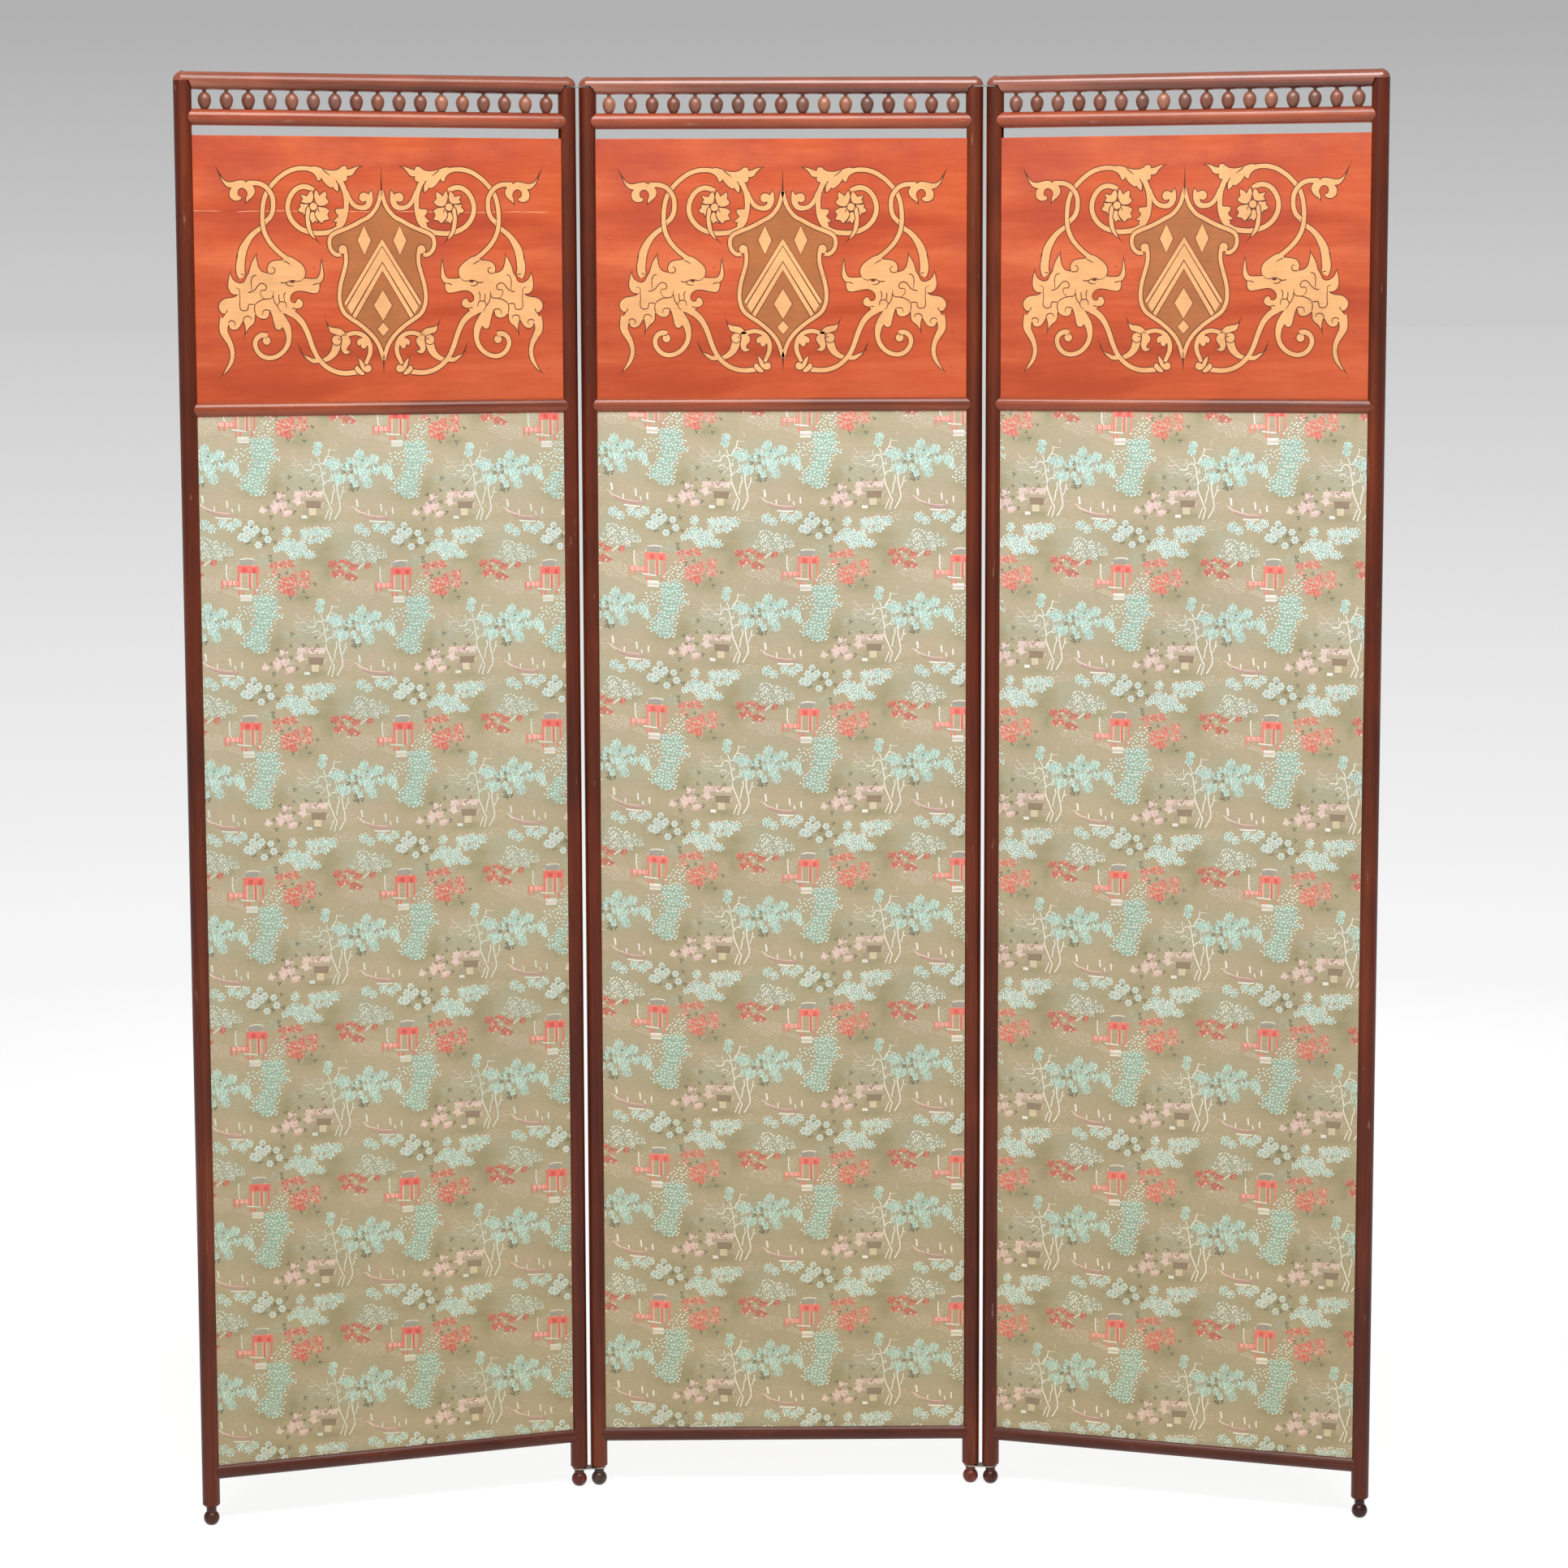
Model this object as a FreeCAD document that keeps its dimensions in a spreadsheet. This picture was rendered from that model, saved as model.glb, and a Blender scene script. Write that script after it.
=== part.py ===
import FreeCAD, Part
import math
import os
from types import SimpleNamespace

import Sketcher
from FreeCAD import Vector

# Three-leaf folding screen of round sticks, in millimetres.
# +X is to the right, -Y is the front, +Z is up, and the floor is at Z = 0.
sizes = {
    # Whole screen
    "overall_height": 1730,  # floor to the crown of the top rails
    "leaf_spacing": 463,  # stile axis to stile axis in one leaf
    "wing_angle": 19,  # how far each wing stands forward at rest, in degrees
    "hinge_gap": 4,  # clear gap between the stiles of neighbouring leaves
    # Sticks
    "stile_diameter": 21,
    "stile_chamfer": 2.2,  # on the lower end
    "top_rail_diameter": 21,
    "gallery_rail_diameter": 19.5,
    "middle_rail_diameter": 19.5,
    "bottom_rail_diameter": 19.5,
    "gallery_drop": 41.7,  # top rail axis down to gallery rail axis
    "middle_rail_height": 1340,  # axis above the floor
    "bottom_rail_height": 65.5,  # axis above the floor
    # Joints between sticks
    "tenon_diameter": 9,
    "tenon_end_gap": 0.5,  # left at the bottom of each mortise
    "mitre_start": 5.6,  # inner end of the flat on a stile's top, from the stile axis
    "joint_fit": 0.1,  # glue gap between pieces of one leaf
    # Panels in the stile grooves
    "panel_thickness": 10,
    "stile_groove_depth": 4.5,  # from the stile's inner side to the floor of the groove
    "rail_groove_depth": 2,  # from the edge of the groove to its floor
    "board_gap": 11,  # open gap between the gallery rail and the board
    "board_chamfer": 1,  # on the board's free top edge
    "strainer_width": 28,
    "cloth_thickness": 0.6,
    # Gallery spindles
    "spindle_count": 17,
    "spindle_diameter": 15.8,
    "spindle_base_diameter": 8.2,
    "spindle_neck_diameter": 4.6,
    "spindle_egg_height": 19.1,
    "spindle_belly_height": 10.2,  # of the widest point, above the base
    "spindle_pin_length": 6,  # in each rail
    # Ball feet
    "foot_height": 23.3,  # floor to the end of the stile
    "foot_ball_diameter": 19,
    "foot_flat_diameter": 8,
    "foot_neck_diameter": 12,
    "spigot_diameter": 9,
    "spigot_length": 24,  # in the stile
    # Corner pins and hinge links
    "pin_diameter": 4,
    "pin_length": 26,  # in the stile
    "pin_head_diameter": 7,
    "pin_head_height": 2.2,
    "pin_head_recess": 1.4,
    "link_thickness": 1.5,
    "top_link_width": 10,
    "bottom_link_width": 16,
    "link_clearance": 0.3,  # above and below a link
    "pivot_fit": 0.05,  # radial, between a link and its pin or spigot
}

doc = FreeCAD.newDocument("FoldingScreen")
sheet = doc.addObject("Spreadsheet::Sheet", "Sizes")
for row, (name, number) in enumerate(sizes.items(), start=1):
    sheet.set(f"A{row}", name)
    sheet.set(f"B{row}", str(number))
    sheet.setAlias(f"B{row}", name)
doc.recompute()


class Term:
    # A number together with the sheet expression that gives it.
    def __init__(self, value, text):
        self.value = value
        self.text = text

    def __add__(self, other):
        other = term(other)
        return Term(self.value + other.value, f"({self.text} + {other.text})")

    def __sub__(self, other):
        other = term(other)
        return Term(self.value - other.value, f"({self.text} - {other.text})")

    def __mul__(self, other):
        other = term(other)
        return Term(self.value * other.value, f"({self.text} * {other.text})")

    def __truediv__(self, other):
        other = term(other)
        return Term(self.value / other.value, f"({self.text} / {other.text})")

    def __neg__(self):
        return Term(-self.value, f"(0 - {self.text})")


def term(amount):
    return amount if isinstance(amount, Term) else Term(float(amount), repr(amount))


def sine(angle):
    return Term(math.sin(math.radians(angle.value)), f"sin({angle.text})")


def cosine(angle):
    return Term(math.cos(math.radians(angle.value)), f"cos({angle.text})")


def leg(longest, other):
    # The other short side of a right-angled triangle.
    value = math.sqrt(longest.value ** 2 - other.value ** 2)
    return Term(value, f"sqrt(({longest.text}) ^ 2 - ({other.text}) ^ 2)")


dim = SimpleNamespace(**{name: Term(float(sheet.get(name)), f"Sizes.{name}") for name in sizes})

# Heights and half widths that several pieces share
half_spacing = dim.leaf_spacing / 2
stile_radius = dim.stile_diameter / 2
top_radius = dim.top_rail_diameter / 2
gallery_radius = dim.gallery_rail_diameter / 2
top_axis = dim.overall_height - top_radius
gallery_axis = top_axis - dim.gallery_drop
link_slot = dim.link_thickness + dim.link_clearance * 2
half_groove = dim.panel_thickness / 2 + dim.joint_fit
groove_floor = stile_radius - dim.stile_groove_depth
panel_edge = half_spacing - groove_floor - dim.joint_fit
middle_groove = leg(dim.middle_rail_diameter / 2, half_groove) - dim.rail_groove_depth
bottom_groove = leg(dim.bottom_rail_diameter / 2, half_groove) - dim.rail_groove_depth
board_low = dim.middle_rail_height + middle_groove + dim.joint_fit
board_high = gallery_axis - gallery_radius - dim.board_gap
cloth_low = dim.bottom_rail_height + bottom_groove + dim.joint_fit
cloth_high = dim.middle_rail_height - middle_groove - dim.joint_fit
spindle_pitch = dim.leaf_spacing / (dim.spindle_count + 1)
past = 2  # how far a cut runs past the surface that it opens

# Places of the leaves: the middle leaf is square to Y, and the box of the whole screen is centred
link_span = dim.stile_diameter + dim.hinge_gap
link_angle = dim.wing_angle / 2
link_reach = link_span * cosine(link_angle)
link_advance = link_span * sine(link_angle)
wing_reach = half_spacing * cosine(dim.wing_angle)
wing_advance = half_spacing * sine(dim.wing_angle)
middle_y = link_advance / 2 + wing_advance
leaf_places = {
    "left": (-(half_spacing + link_reach + wing_reach), middle_y - link_advance - wing_advance, dim.wing_angle),
    "centre": (term(0), middle_y, term(0)),
    "right": (half_spacing + link_reach + wing_reach, middle_y - link_advance - wing_advance, -dim.wing_angle),
}
stile_names = {
    "left": ("outer", "inner"),
    "centre": ("left", "right"),
    "right": ("inner", "outer"),
}


def bind(thing, path, amount):
    thing.setExpression(path, term(amount).text)


def new_piece(label, place):
    # A body that stands at the leaf's middle, on the floor, turned with the leaf.
    body = doc.addObject("PartDesign::Body", label)
    body.Label = label
    across, along, turn = place
    bind(body, "Placement.Base.x", across)
    bind(body, "Placement.Base.y", along)
    bind(body, "Placement.Rotation.Angle", turn)
    return body


def origin_feature(body, role):
    return next(feature for feature in body.Origin.OriginFeatures if feature.Role == role)


def new_sketch(body, role, shift=(0, 0, 0)):
    sketch = body.newObject("Sketcher::SketchObject", f"{body.Label}_sketch")
    sketch.AttachmentSupport = [(origin_feature(body, role), "")]
    sketch.MapMode = "FlatFace"
    for axis, amount in zip("xyz", shift):
        bind(sketch, f"AttachmentOffset.Base.{axis}", amount)
    return sketch


def hold(sketch, geometry, vertex, across=None, up=None):
    for kind, amount in (("DistanceX", across), ("DistanceY", up)):
        if amount is not None:
            amount = term(amount)
            limit = Sketcher.Constraint(kind, -1, 1, geometry, vertex, amount.value)
            bind(sketch, f"Constraints[{sketch.addConstraint(limit)}]", amount)


def circle(sketch, across, up, diameter):
    centre = Vector(term(across).value, term(up).value, 0)
    shape = Part.Circle(centre, Vector(0, 0, 1), diameter.value / 2)
    geometry = sketch.addGeometry(shape)
    hold(sketch, geometry, 3, across, up)
    limit = sketch.addConstraint(Sketcher.Constraint("Diameter", geometry, diameter.value))
    bind(sketch, f"Constraints[{limit}]", diameter)


def arc_centre(start, end, centre_x, centre_y):
    # The missing coordinate of a centre that is equally far from both ends.
    middle = (end.x ** 2 + end.y ** 2 - start.x ** 2 - start.y ** 2) / 2
    if centre_y is None:
        return Vector(centre_x, (middle - centre_x * (end.x - start.x)) / (end.y - start.y), 0)
    return Vector((middle - centre_y * (end.y - start.y)) / (end.x - start.x), centre_y, 0)


def outline(sketch, corners):
    # A closed outline. A corner is (across, up), or (across, up, axis, place) where an arc that turns
    # anticlockwise leads on from it and its centre has that place along that axis.
    first = sketch.GeometryCount
    count = len(corners)
    points = [Vector(term(corner[0]).value, term(corner[1]).value, 0) for corner in corners]
    for index, corner in enumerate(corners):
        start = points[index]
        end = points[(index + 1) % count]
        if len(corner) == 2:
            sketch.addGeometry(Part.LineSegment(start, end))
            continue
        place = term(corner[3]).value
        centre = arc_centre(start, end, *((place, None) if corner[2] == "x" else (None, place)))
        angles = [math.atan2(point.y - centre.y, point.x - centre.x) for point in (start, end)]
        ring = Part.Circle(centre, Vector(0, 0, 1), (start - centre).Length)
        sketch.addGeometry(Part.ArcOfCircle(ring, *angles))
    for index, corner in enumerate(corners):
        before = first + (index - 1) % count
        sketch.addConstraint(Sketcher.Constraint("Coincident", before, 2, first + index, 1))
        hold(sketch, first + index, 1, corner[0], corner[1])
        if len(corner) > 2:
            hold(sketch, first + index, 3, **{"across" if corner[2] == "x" else "up": corner[3]})


def feature(body, kind, sketch, **settings):
    made = body.newObject(f"PartDesign::{kind}", f"{body.Label}_{kind.lower()}")
    made.Profile = sketch
    for key, value in settings.items():
        if isinstance(value, Term):
            bind(made, key, value)
        else:
            setattr(made, key, value)
    return made


def turn(body, sketch, axis):
    return feature(body, "Revolution", sketch, ReferenceAxis=(sketch, [axis]), Angle=360)


def pad(body, sketch, length, side="Symmetric"):
    return feature(body, "Pad", sketch, SideType=side, Length=length)


def pocket(body, sketch, length, side="Symmetric", reverse=False):
    return feature(body, "Pocket", sketch, SideType=side, Length=length, Reversed=reverse)


def repeat_along(body, made):
    # Repeats a feature at every spindle, from the leftmost one.
    row = body.newObject("PartDesign::LinearPattern", f"{body.Label}_row")
    row.Originals = [made]
    row.Direction = (origin_feature(body, "X_Axis"), [""])
    bind(row, "Length", spindle_pitch * (dim.spindle_count - 1))
    bind(row, "Occurrences", dim.spindle_count)
    body.Tip = row
    return row


first_spindle = spindle_pitch - half_spacing
pin_bore = dim.pin_diameter + dim.joint_fit * 2
spigot_bore = dim.spigot_diameter + dim.joint_fit * 2
tenon_bore = dim.tenon_diameter + dim.joint_fit * 2


def make_stile(label, place, side, hinged):
    # side is -1 for the leaf's left stile and 1 for its right one; the inner side faces the panels.
    body = new_piece(label, place)
    axis = half_spacing * side
    inward = -side
    low = dim.foot_height
    high = top_axis - (link_slot if hinged else dim.joint_fit)
    profile = new_sketch(body, "XZ_Plane", (axis, 0, 0))
    outline(profile, [
        (spigot_bore / 2, low),
        (stile_radius - dim.stile_chamfer, low),
        (stile_radius, low + dim.stile_chamfer),
        (stile_radius, high),
        (pin_bore / 2, high),
        (pin_bore / 2, top_axis - dim.pin_length - dim.tenon_end_gap),
        (0, top_axis - dim.pin_length - dim.tenon_end_gap),
        (0, low + dim.spigot_length + dim.tenon_end_gap),
        (spigot_bore / 2, low + dim.spigot_length + dim.tenon_end_gap),
    ])
    turn(body, profile, "V_Axis")
    mitre = new_sketch(body, "XZ_Plane", (axis, 0, 0))
    outline(mitre, [
        (dim.mitre_start * inward, top_axis - dim.joint_fit),
        (stile_radius * inward, top_axis - top_radius - dim.joint_fit),
        ((stile_radius + past) * inward, top_axis - top_radius - dim.joint_fit),
        ((stile_radius + past) * inward, top_axis + past),
        (dim.mitre_start * inward, top_axis + past),
    ])
    pocket(body, mitre, dim.stile_diameter + past)
    groove = new_sketch(body, "XY_Plane", (axis, 0, dim.bottom_rail_height))
    outline(groove, [
        (groove_floor * inward, -half_groove),
        ((stile_radius + past) * inward, -half_groove),
        ((stile_radius + past) * inward, half_groove),
        (groove_floor * inward, half_groove),
    ])
    pocket(body, groove, gallery_axis - dim.bottom_rail_height, "One side", True)
    mortises = new_sketch(body, "YZ_Plane", (0, 0, axis))
    for height in (gallery_axis, dim.middle_rail_height, dim.bottom_rail_height):
        circle(mortises, 0, height, tenon_bore)
    pocket(body, mortises, stile_radius + past, "One side", side < 0)
    return body


def make_top_rail(label, place):
    body = new_piece(label, place)
    profile = new_sketch(body, "XZ_Plane", (0, top_axis, 0))
    outline(profile, [
        (half_spacing + top_radius, 0, "x", half_spacing),
        (half_spacing, top_radius),
        (-half_spacing, top_radius, "x", -half_spacing),
        (-half_spacing - top_radius, 0),
    ])
    turn(body, profile, "H_Axis")
    notches = new_sketch(body, "XZ_Plane", (0, top_axis, 0))
    for side in (-1, 1):
        outline(notches, [
            ((half_spacing - dim.mitre_start) * side, 0),
            ((half_spacing + top_radius + past) * side, 0),
            ((half_spacing + top_radius + past) * side, -top_radius - past),
            ((half_spacing - stile_radius) * side, -top_radius - past),
            ((half_spacing - stile_radius) * side, -top_radius),
        ])
    pocket(body, notches, dim.top_rail_diameter + past)
    pins = new_sketch(body, "XY_Plane", (0, 0, top_axis))
    heads = new_sketch(body, "XY_Plane", (0, 0, dim.overall_height - dim.pin_head_recess))
    for side in (-1, 1):
        circle(pins, half_spacing * side, 0, pin_bore)
        circle(heads, half_spacing * side, 0, dim.pin_head_diameter + dim.joint_fit * 2)
    pocket(body, pins, top_radius + past, "One side", True)
    pocket(body, heads, dim.pin_head_recess + past, "One side", True)
    bore = new_sketch(body, "XY_Plane", (0, 0, top_axis - top_radius + dim.spindle_pin_length + dim.tenon_end_gap))
    circle(bore, first_spindle, 0, dim.spindle_neck_diameter + dim.joint_fit * 2)
    repeat_along(body, pocket(body, bore, dim.spindle_pin_length + dim.tenon_end_gap + past, "One side"))
    return body


def make_coped_rail(label, place, height, diameter):
    # A round rail whose ends fit round the stiles, with round tenons.
    body = new_piece(label, place)
    section = new_sketch(body, "YZ_Plane")
    circle(section, 0, height, diameter)
    pad(body, section, dim.leaf_spacing)
    copes = new_sketch(body, "XY_Plane", (0, 0, height))
    for side in (-1, 1):
        circle(copes, half_spacing * side, 0, dim.stile_diameter + dim.joint_fit * 2)
    pocket(body, copes, diameter + past)
    tenons = new_sketch(body, "YZ_Plane")
    circle(tenons, 0, height, dim.tenon_diameter)
    pad(body, tenons, dim.leaf_spacing - dim.tenon_end_gap * 2)
    return body


def plough(body, height, floor, diameter, side):
    # A groove for a panel along the top (1) or the underside (-1) of a rail.
    groove = new_sketch(body, "YZ_Plane")
    outline(groove, [
        (-half_groove, height + floor * side),
        (half_groove, height + floor * side),
        (half_groove, height + (diameter / 2 + past) * side),
        (-half_groove, height + (diameter / 2 + past) * side),
    ])
    pocket(body, groove, panel_edge * 2 + dim.joint_fit * 2)


def make_gallery_rail(label, place):
    body = make_coped_rail(label, place, gallery_axis, dim.gallery_rail_diameter)
    bore_floor = gallery_axis + gallery_radius - dim.spindle_pin_length - dim.tenon_end_gap
    bore = new_sketch(body, "XY_Plane", (0, 0, bore_floor))
    circle(bore, first_spindle, 0, dim.spindle_neck_diameter + dim.joint_fit * 2)
    repeat_along(body, pocket(body, bore, dim.spindle_pin_length + dim.tenon_end_gap + past, "One side", True))
    return body


def make_middle_rail(label, place):
    body = make_coped_rail(label, place, dim.middle_rail_height, dim.middle_rail_diameter)
    for side in (-1, 1):
        plough(body, dim.middle_rail_height, middle_groove, dim.middle_rail_diameter, side)
    return body


def make_bottom_rail(label, place):
    body = make_coped_rail(label, place, dim.bottom_rail_height, dim.bottom_rail_diameter)
    plough(body, dim.bottom_rail_height, bottom_groove, dim.bottom_rail_diameter, 1)
    return body


def make_spindles(label, place):
    # Turned eggs that stand on the gallery rail, with a pin into each rail.
    body = new_piece(label, place)
    base = gallery_axis + gallery_radius
    neck = dim.spindle_neck_diameter / 2
    belly = base + dim.spindle_belly_height
    profile = new_sketch(body, "XZ_Plane", (first_spindle, 0, 0))
    outline(profile, [
        (0, base - dim.spindle_pin_length),
        (neck, base - dim.spindle_pin_length),
        (neck, base),
        (dim.spindle_base_diameter / 2, base, "y", belly),
        (dim.spindle_diameter / 2, belly, "y", belly),
        (neck, base + dim.spindle_egg_height),
        (neck, top_axis - top_radius + dim.spindle_pin_length),
        (0, top_axis - top_radius + dim.spindle_pin_length),
    ])
    repeat_along(body, turn(body, profile, "V_Axis"))
    return body


def make_board(label, place):
    body = new_piece(label, place)
    half = dim.panel_thickness / 2
    section = new_sketch(body, "YZ_Plane")
    outline(section, [
        (-half, board_low),
        (half, board_low),
        (half, board_high - dim.board_chamfer),
        (half - dim.board_chamfer, board_high),
        (-half + dim.board_chamfer, board_high),
        (-half, board_high - dim.board_chamfer),
    ])
    pad(body, section, panel_edge * 2)
    return body


strainer_depth = dim.panel_thickness - dim.cloth_thickness * 2
bar_heights = {
    "bottom": (cloth_low, cloth_low + dim.strainer_width),
    "cross": (
        (cloth_low + cloth_high - dim.strainer_width) / 2,
        (cloth_low + cloth_high + dim.strainer_width) / 2,
    ),
    "top": (cloth_high - dim.strainer_width, cloth_high),
}


def rectangle(sketch, left, right, low, high):
    outline(sketch, [(left, low), (right, low), (right, high), (left, high)])


def make_strainer_upright(label, place, side):
    # The halvings are on the front, one for each bar.
    body = new_piece(label, place)
    inner = (panel_edge - dim.strainer_width) * side
    face = new_sketch(body, "XZ_Plane")
    rectangle(face, inner, panel_edge * side, cloth_low, cloth_high)
    pad(body, face, strainer_depth)
    laps = new_sketch(body, "XZ_Plane")
    for name, (low, high) in bar_heights.items():
        lower = low - past if name == "bottom" else low - dim.joint_fit
        upper = high + past if name == "top" else high + dim.joint_fit
        rectangle(laps, inner - past * side, (panel_edge + past) * side, lower, upper)
    pocket(body, laps, strainer_depth, "One side", True)
    return body


def make_strainer_bar(label, place, low, high):
    # The halvings are on the back, at both ends.
    body = new_piece(label, place)
    face = new_sketch(body, "XZ_Plane")
    rectangle(face, -panel_edge, panel_edge, low, high)
    pad(body, face, strainer_depth)
    laps = new_sketch(body, "XZ_Plane", (0, 0, dim.joint_fit))
    for side in (-1, 1):
        shoulder = (panel_edge - dim.strainer_width - dim.joint_fit) * side
        rectangle(laps, shoulder, (panel_edge + past) * side, low - past, high + past)
    pocket(body, laps, strainer_depth, "One side")
    return body


def make_cloth(label, place, side):
    # A stretched cloth on the front (-1) or the back (1) of the strainer.
    body = new_piece(label, place)
    outer = dim.panel_thickness / 2
    section = new_sketch(body, "XY_Plane", (0, 0, cloth_low))
    rectangle(section, -panel_edge, panel_edge, (outer - dim.cloth_thickness) * side, outer * side)
    pad(body, section, cloth_high - cloth_low, "One side")
    return body


def make_foot(label, place, side, hinged):
    body = new_piece(label, place)
    ball = dim.foot_ball_diameter / 2
    flat = dim.foot_flat_diameter / 2
    neck = dim.foot_neck_diameter / 2
    spigot = dim.spigot_diameter / 2
    shoulder = dim.foot_height - (link_slot if hinged else dim.joint_fit)
    profile = new_sketch(body, "XZ_Plane", (half_spacing * side, 0, 0))
    outline(profile, [
        (0, 0),
        (flat, 0, "x", 0),
        (neck, leg(ball, flat) + leg(ball, neck)),
        (neck, shoulder),
        (spigot, shoulder),
        (spigot, dim.foot_height + dim.spigot_length),
        (0, dim.foot_height + dim.spigot_length),
    ])
    turn(body, profile, "V_Axis")
    return body


def make_pins(label, place):
    # One pin down through each end of the top rail into the stile, with a domed head.
    body = new_piece(label, place)
    shank = dim.pin_diameter / 2
    head = dim.pin_head_diameter / 2
    seat = dim.overall_height - dim.pin_head_recess
    crown = seat + dim.pin_head_height
    for side in (-1, 1):
        profile = new_sketch(body, "XZ_Plane", (half_spacing * side, 0, 0))
        outline(profile, [
            (0, top_axis - dim.pin_length),
            (shank, top_axis - dim.pin_length),
            (shank, seat),
            (head, seat, "x", 0),
            (0, crown),
        ])
        turn(body, profile, "V_Axis")
    return body


def make_link(label, side, width, bore, low):
    # A plate with round ends that turns on a pin in each of two neighbouring stiles.
    turned = -link_angle * side
    body = new_piece(label, (half_spacing * side, middle_y, turned))
    half = width / 2
    far = link_span * side
    near_x, far_x = (term(0), far) if side > 0 else (far, term(0))
    plate = new_sketch(body, "XY_Plane", (0, 0, low))
    outline(plate, [
        (near_x, -half),
        (far_x, -half, "x", far_x),
        (far_x, half),
        (near_x, half, "x", near_x),
    ])
    for place in (near_x, far_x):
        circle(plate, place, 0, bore)
    pad(body, plate, dim.link_thickness, "One side")
    return body


pieces = []
for leaf, place in leaf_places.items():
    for side, stile in zip((-1, 1), stile_names[leaf]):
        hinged = stile != "outer"
        pieces.append(make_stile(f"{leaf}_{stile}_stile", place, side, hinged))
        pieces.append(make_foot(f"{leaf}_{stile}_foot", place, side, hinged))
    pieces.append(make_top_rail(f"{leaf}_top_rail", place))
    pieces.append(make_gallery_rail(f"{leaf}_gallery_rail", place))
    pieces.append(make_middle_rail(f"{leaf}_middle_rail", place))
    pieces.append(make_bottom_rail(f"{leaf}_bottom_rail", place))
    pieces.append(make_spindles(f"{leaf}_gallery_spindles", place))
    pieces.append(make_board(f"{leaf}_inlaid_board", place))
    for side, hand in ((-1, "left"), (1, "right")):
        pieces.append(make_strainer_upright(f"{leaf}_strainer_{hand}_upright", place, side))
    for name, (low, high) in bar_heights.items():
        pieces.append(make_strainer_bar(f"{leaf}_strainer_{name}_bar", place, low, high))
    pieces.append(make_cloth(f"{leaf}_brocade", place, -1))
    pieces.append(make_cloth(f"{leaf}_back_lining", place, 1))
    pieces.append(make_pins(f"{leaf}_corner_pins", place))
for wing, side in (("left", -1), ("right", 1)):
    pivot = dim.pivot_fit * 2
    top_low = top_axis - link_slot + dim.link_clearance
    foot_low = dim.foot_height - link_slot + dim.link_clearance
    pieces.append(make_link(f"{wing}_top_hinge_link", side, dim.top_link_width, dim.pin_diameter + pivot, top_low))
    pieces.append(make_link(
        f"{wing}_bottom_hinge_link", side, dim.bottom_link_width, dim.spigot_diameter + pivot, foot_low))

doc.recompute()
for item in doc.Objects:
    if "Invalid" in item.State or "Error" in item.State:
        raise RuntimeError(f"{item.Label}: {item.State}")
for piece in pieces:
    if piece.Shape.isNull() or not piece.Shape.isValid():
        raise RuntimeError(f"{piece.Label}: no valid solid")
os.makedirs("parts", exist_ok=True)
for piece in pieces:
    piece.Shape.exportStep(f"parts/{piece.Label}.step")
    print(piece.Label, len(piece.Shape.Solids), round(piece.Shape.Volume, 1))
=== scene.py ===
import math
import random
from functools import partial

import bmesh
import bpy
from mathutils import Matrix, Vector
from mathutils.geometry import tessellate_polygon


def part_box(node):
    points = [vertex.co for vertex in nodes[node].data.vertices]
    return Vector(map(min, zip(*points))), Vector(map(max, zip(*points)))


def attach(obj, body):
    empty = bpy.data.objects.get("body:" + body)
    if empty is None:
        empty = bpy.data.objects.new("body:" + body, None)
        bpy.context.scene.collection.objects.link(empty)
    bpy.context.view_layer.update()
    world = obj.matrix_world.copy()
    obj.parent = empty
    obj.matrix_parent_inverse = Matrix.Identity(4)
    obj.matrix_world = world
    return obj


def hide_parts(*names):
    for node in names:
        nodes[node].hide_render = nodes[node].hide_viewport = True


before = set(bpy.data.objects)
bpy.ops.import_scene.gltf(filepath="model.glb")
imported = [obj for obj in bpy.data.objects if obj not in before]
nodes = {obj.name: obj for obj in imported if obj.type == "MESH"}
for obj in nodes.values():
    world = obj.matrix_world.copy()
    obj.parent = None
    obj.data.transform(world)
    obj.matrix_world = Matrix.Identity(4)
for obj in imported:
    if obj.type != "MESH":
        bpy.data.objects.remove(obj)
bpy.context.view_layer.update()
scene = bpy.context.scene
mm = 0.001
print("frame loaded:", len(nodes), "nodes")

# The three leaves, each with its own flat frame: X across, Z up, the front towards -Y

leaves = {
    "left": {"body": "left_leaf", "stiles": ("left_outer_stile", "left_inner_stile")},
    "centre": {"body": "centre_leaf", "stiles": ("centre_left_stile", "centre_right_stile")},
    "right": {"body": "right_leaf", "stiles": ("right_inner_stile", "right_outer_stile")},
}


def nodeMiddle(name):
    low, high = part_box(name)
    return (low + high) / 2


for leaf in leaves.values():
    first, second = (nodeMiddle(name) for name in leaf["stiles"])
    leaf["turn"] = math.atan2(second.y - first.y, second.x - first.x)
    leaf["origin"] = Vector(((first.x + second.x) / 2, (first.y + second.y) / 2, 0))
    leaf["place"] = Matrix.Translation(leaf["origin"]) @ Matrix.Rotation(leaf["turn"], 4, "Z")


def leafBox(leaf, name):
    back = leaf["place"].inverted()
    spots = [back @ v.co for v in nodes[name].data.vertices]
    low = Vector([min(s[i] for s in spots) for i in range(3)])
    high = Vector([max(s[i] for s in spots) for i in range(3)])
    return low, high


def newObject(name, data):
    thing = bpy.data.objects.new(name, data)
    scene.collection.objects.link(thing)
    return thing


# Camera, floor and light

photoView = {
    "place": (-0.0568, -4.7943, 1.4781),
    "pitch": -7.017,
    "yaw": 0.682,
    "roll": -0.158,
    "focalPixels": 4953.6,
    "imagePixels": 1932,
    "sensor": 36,
}

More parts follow.
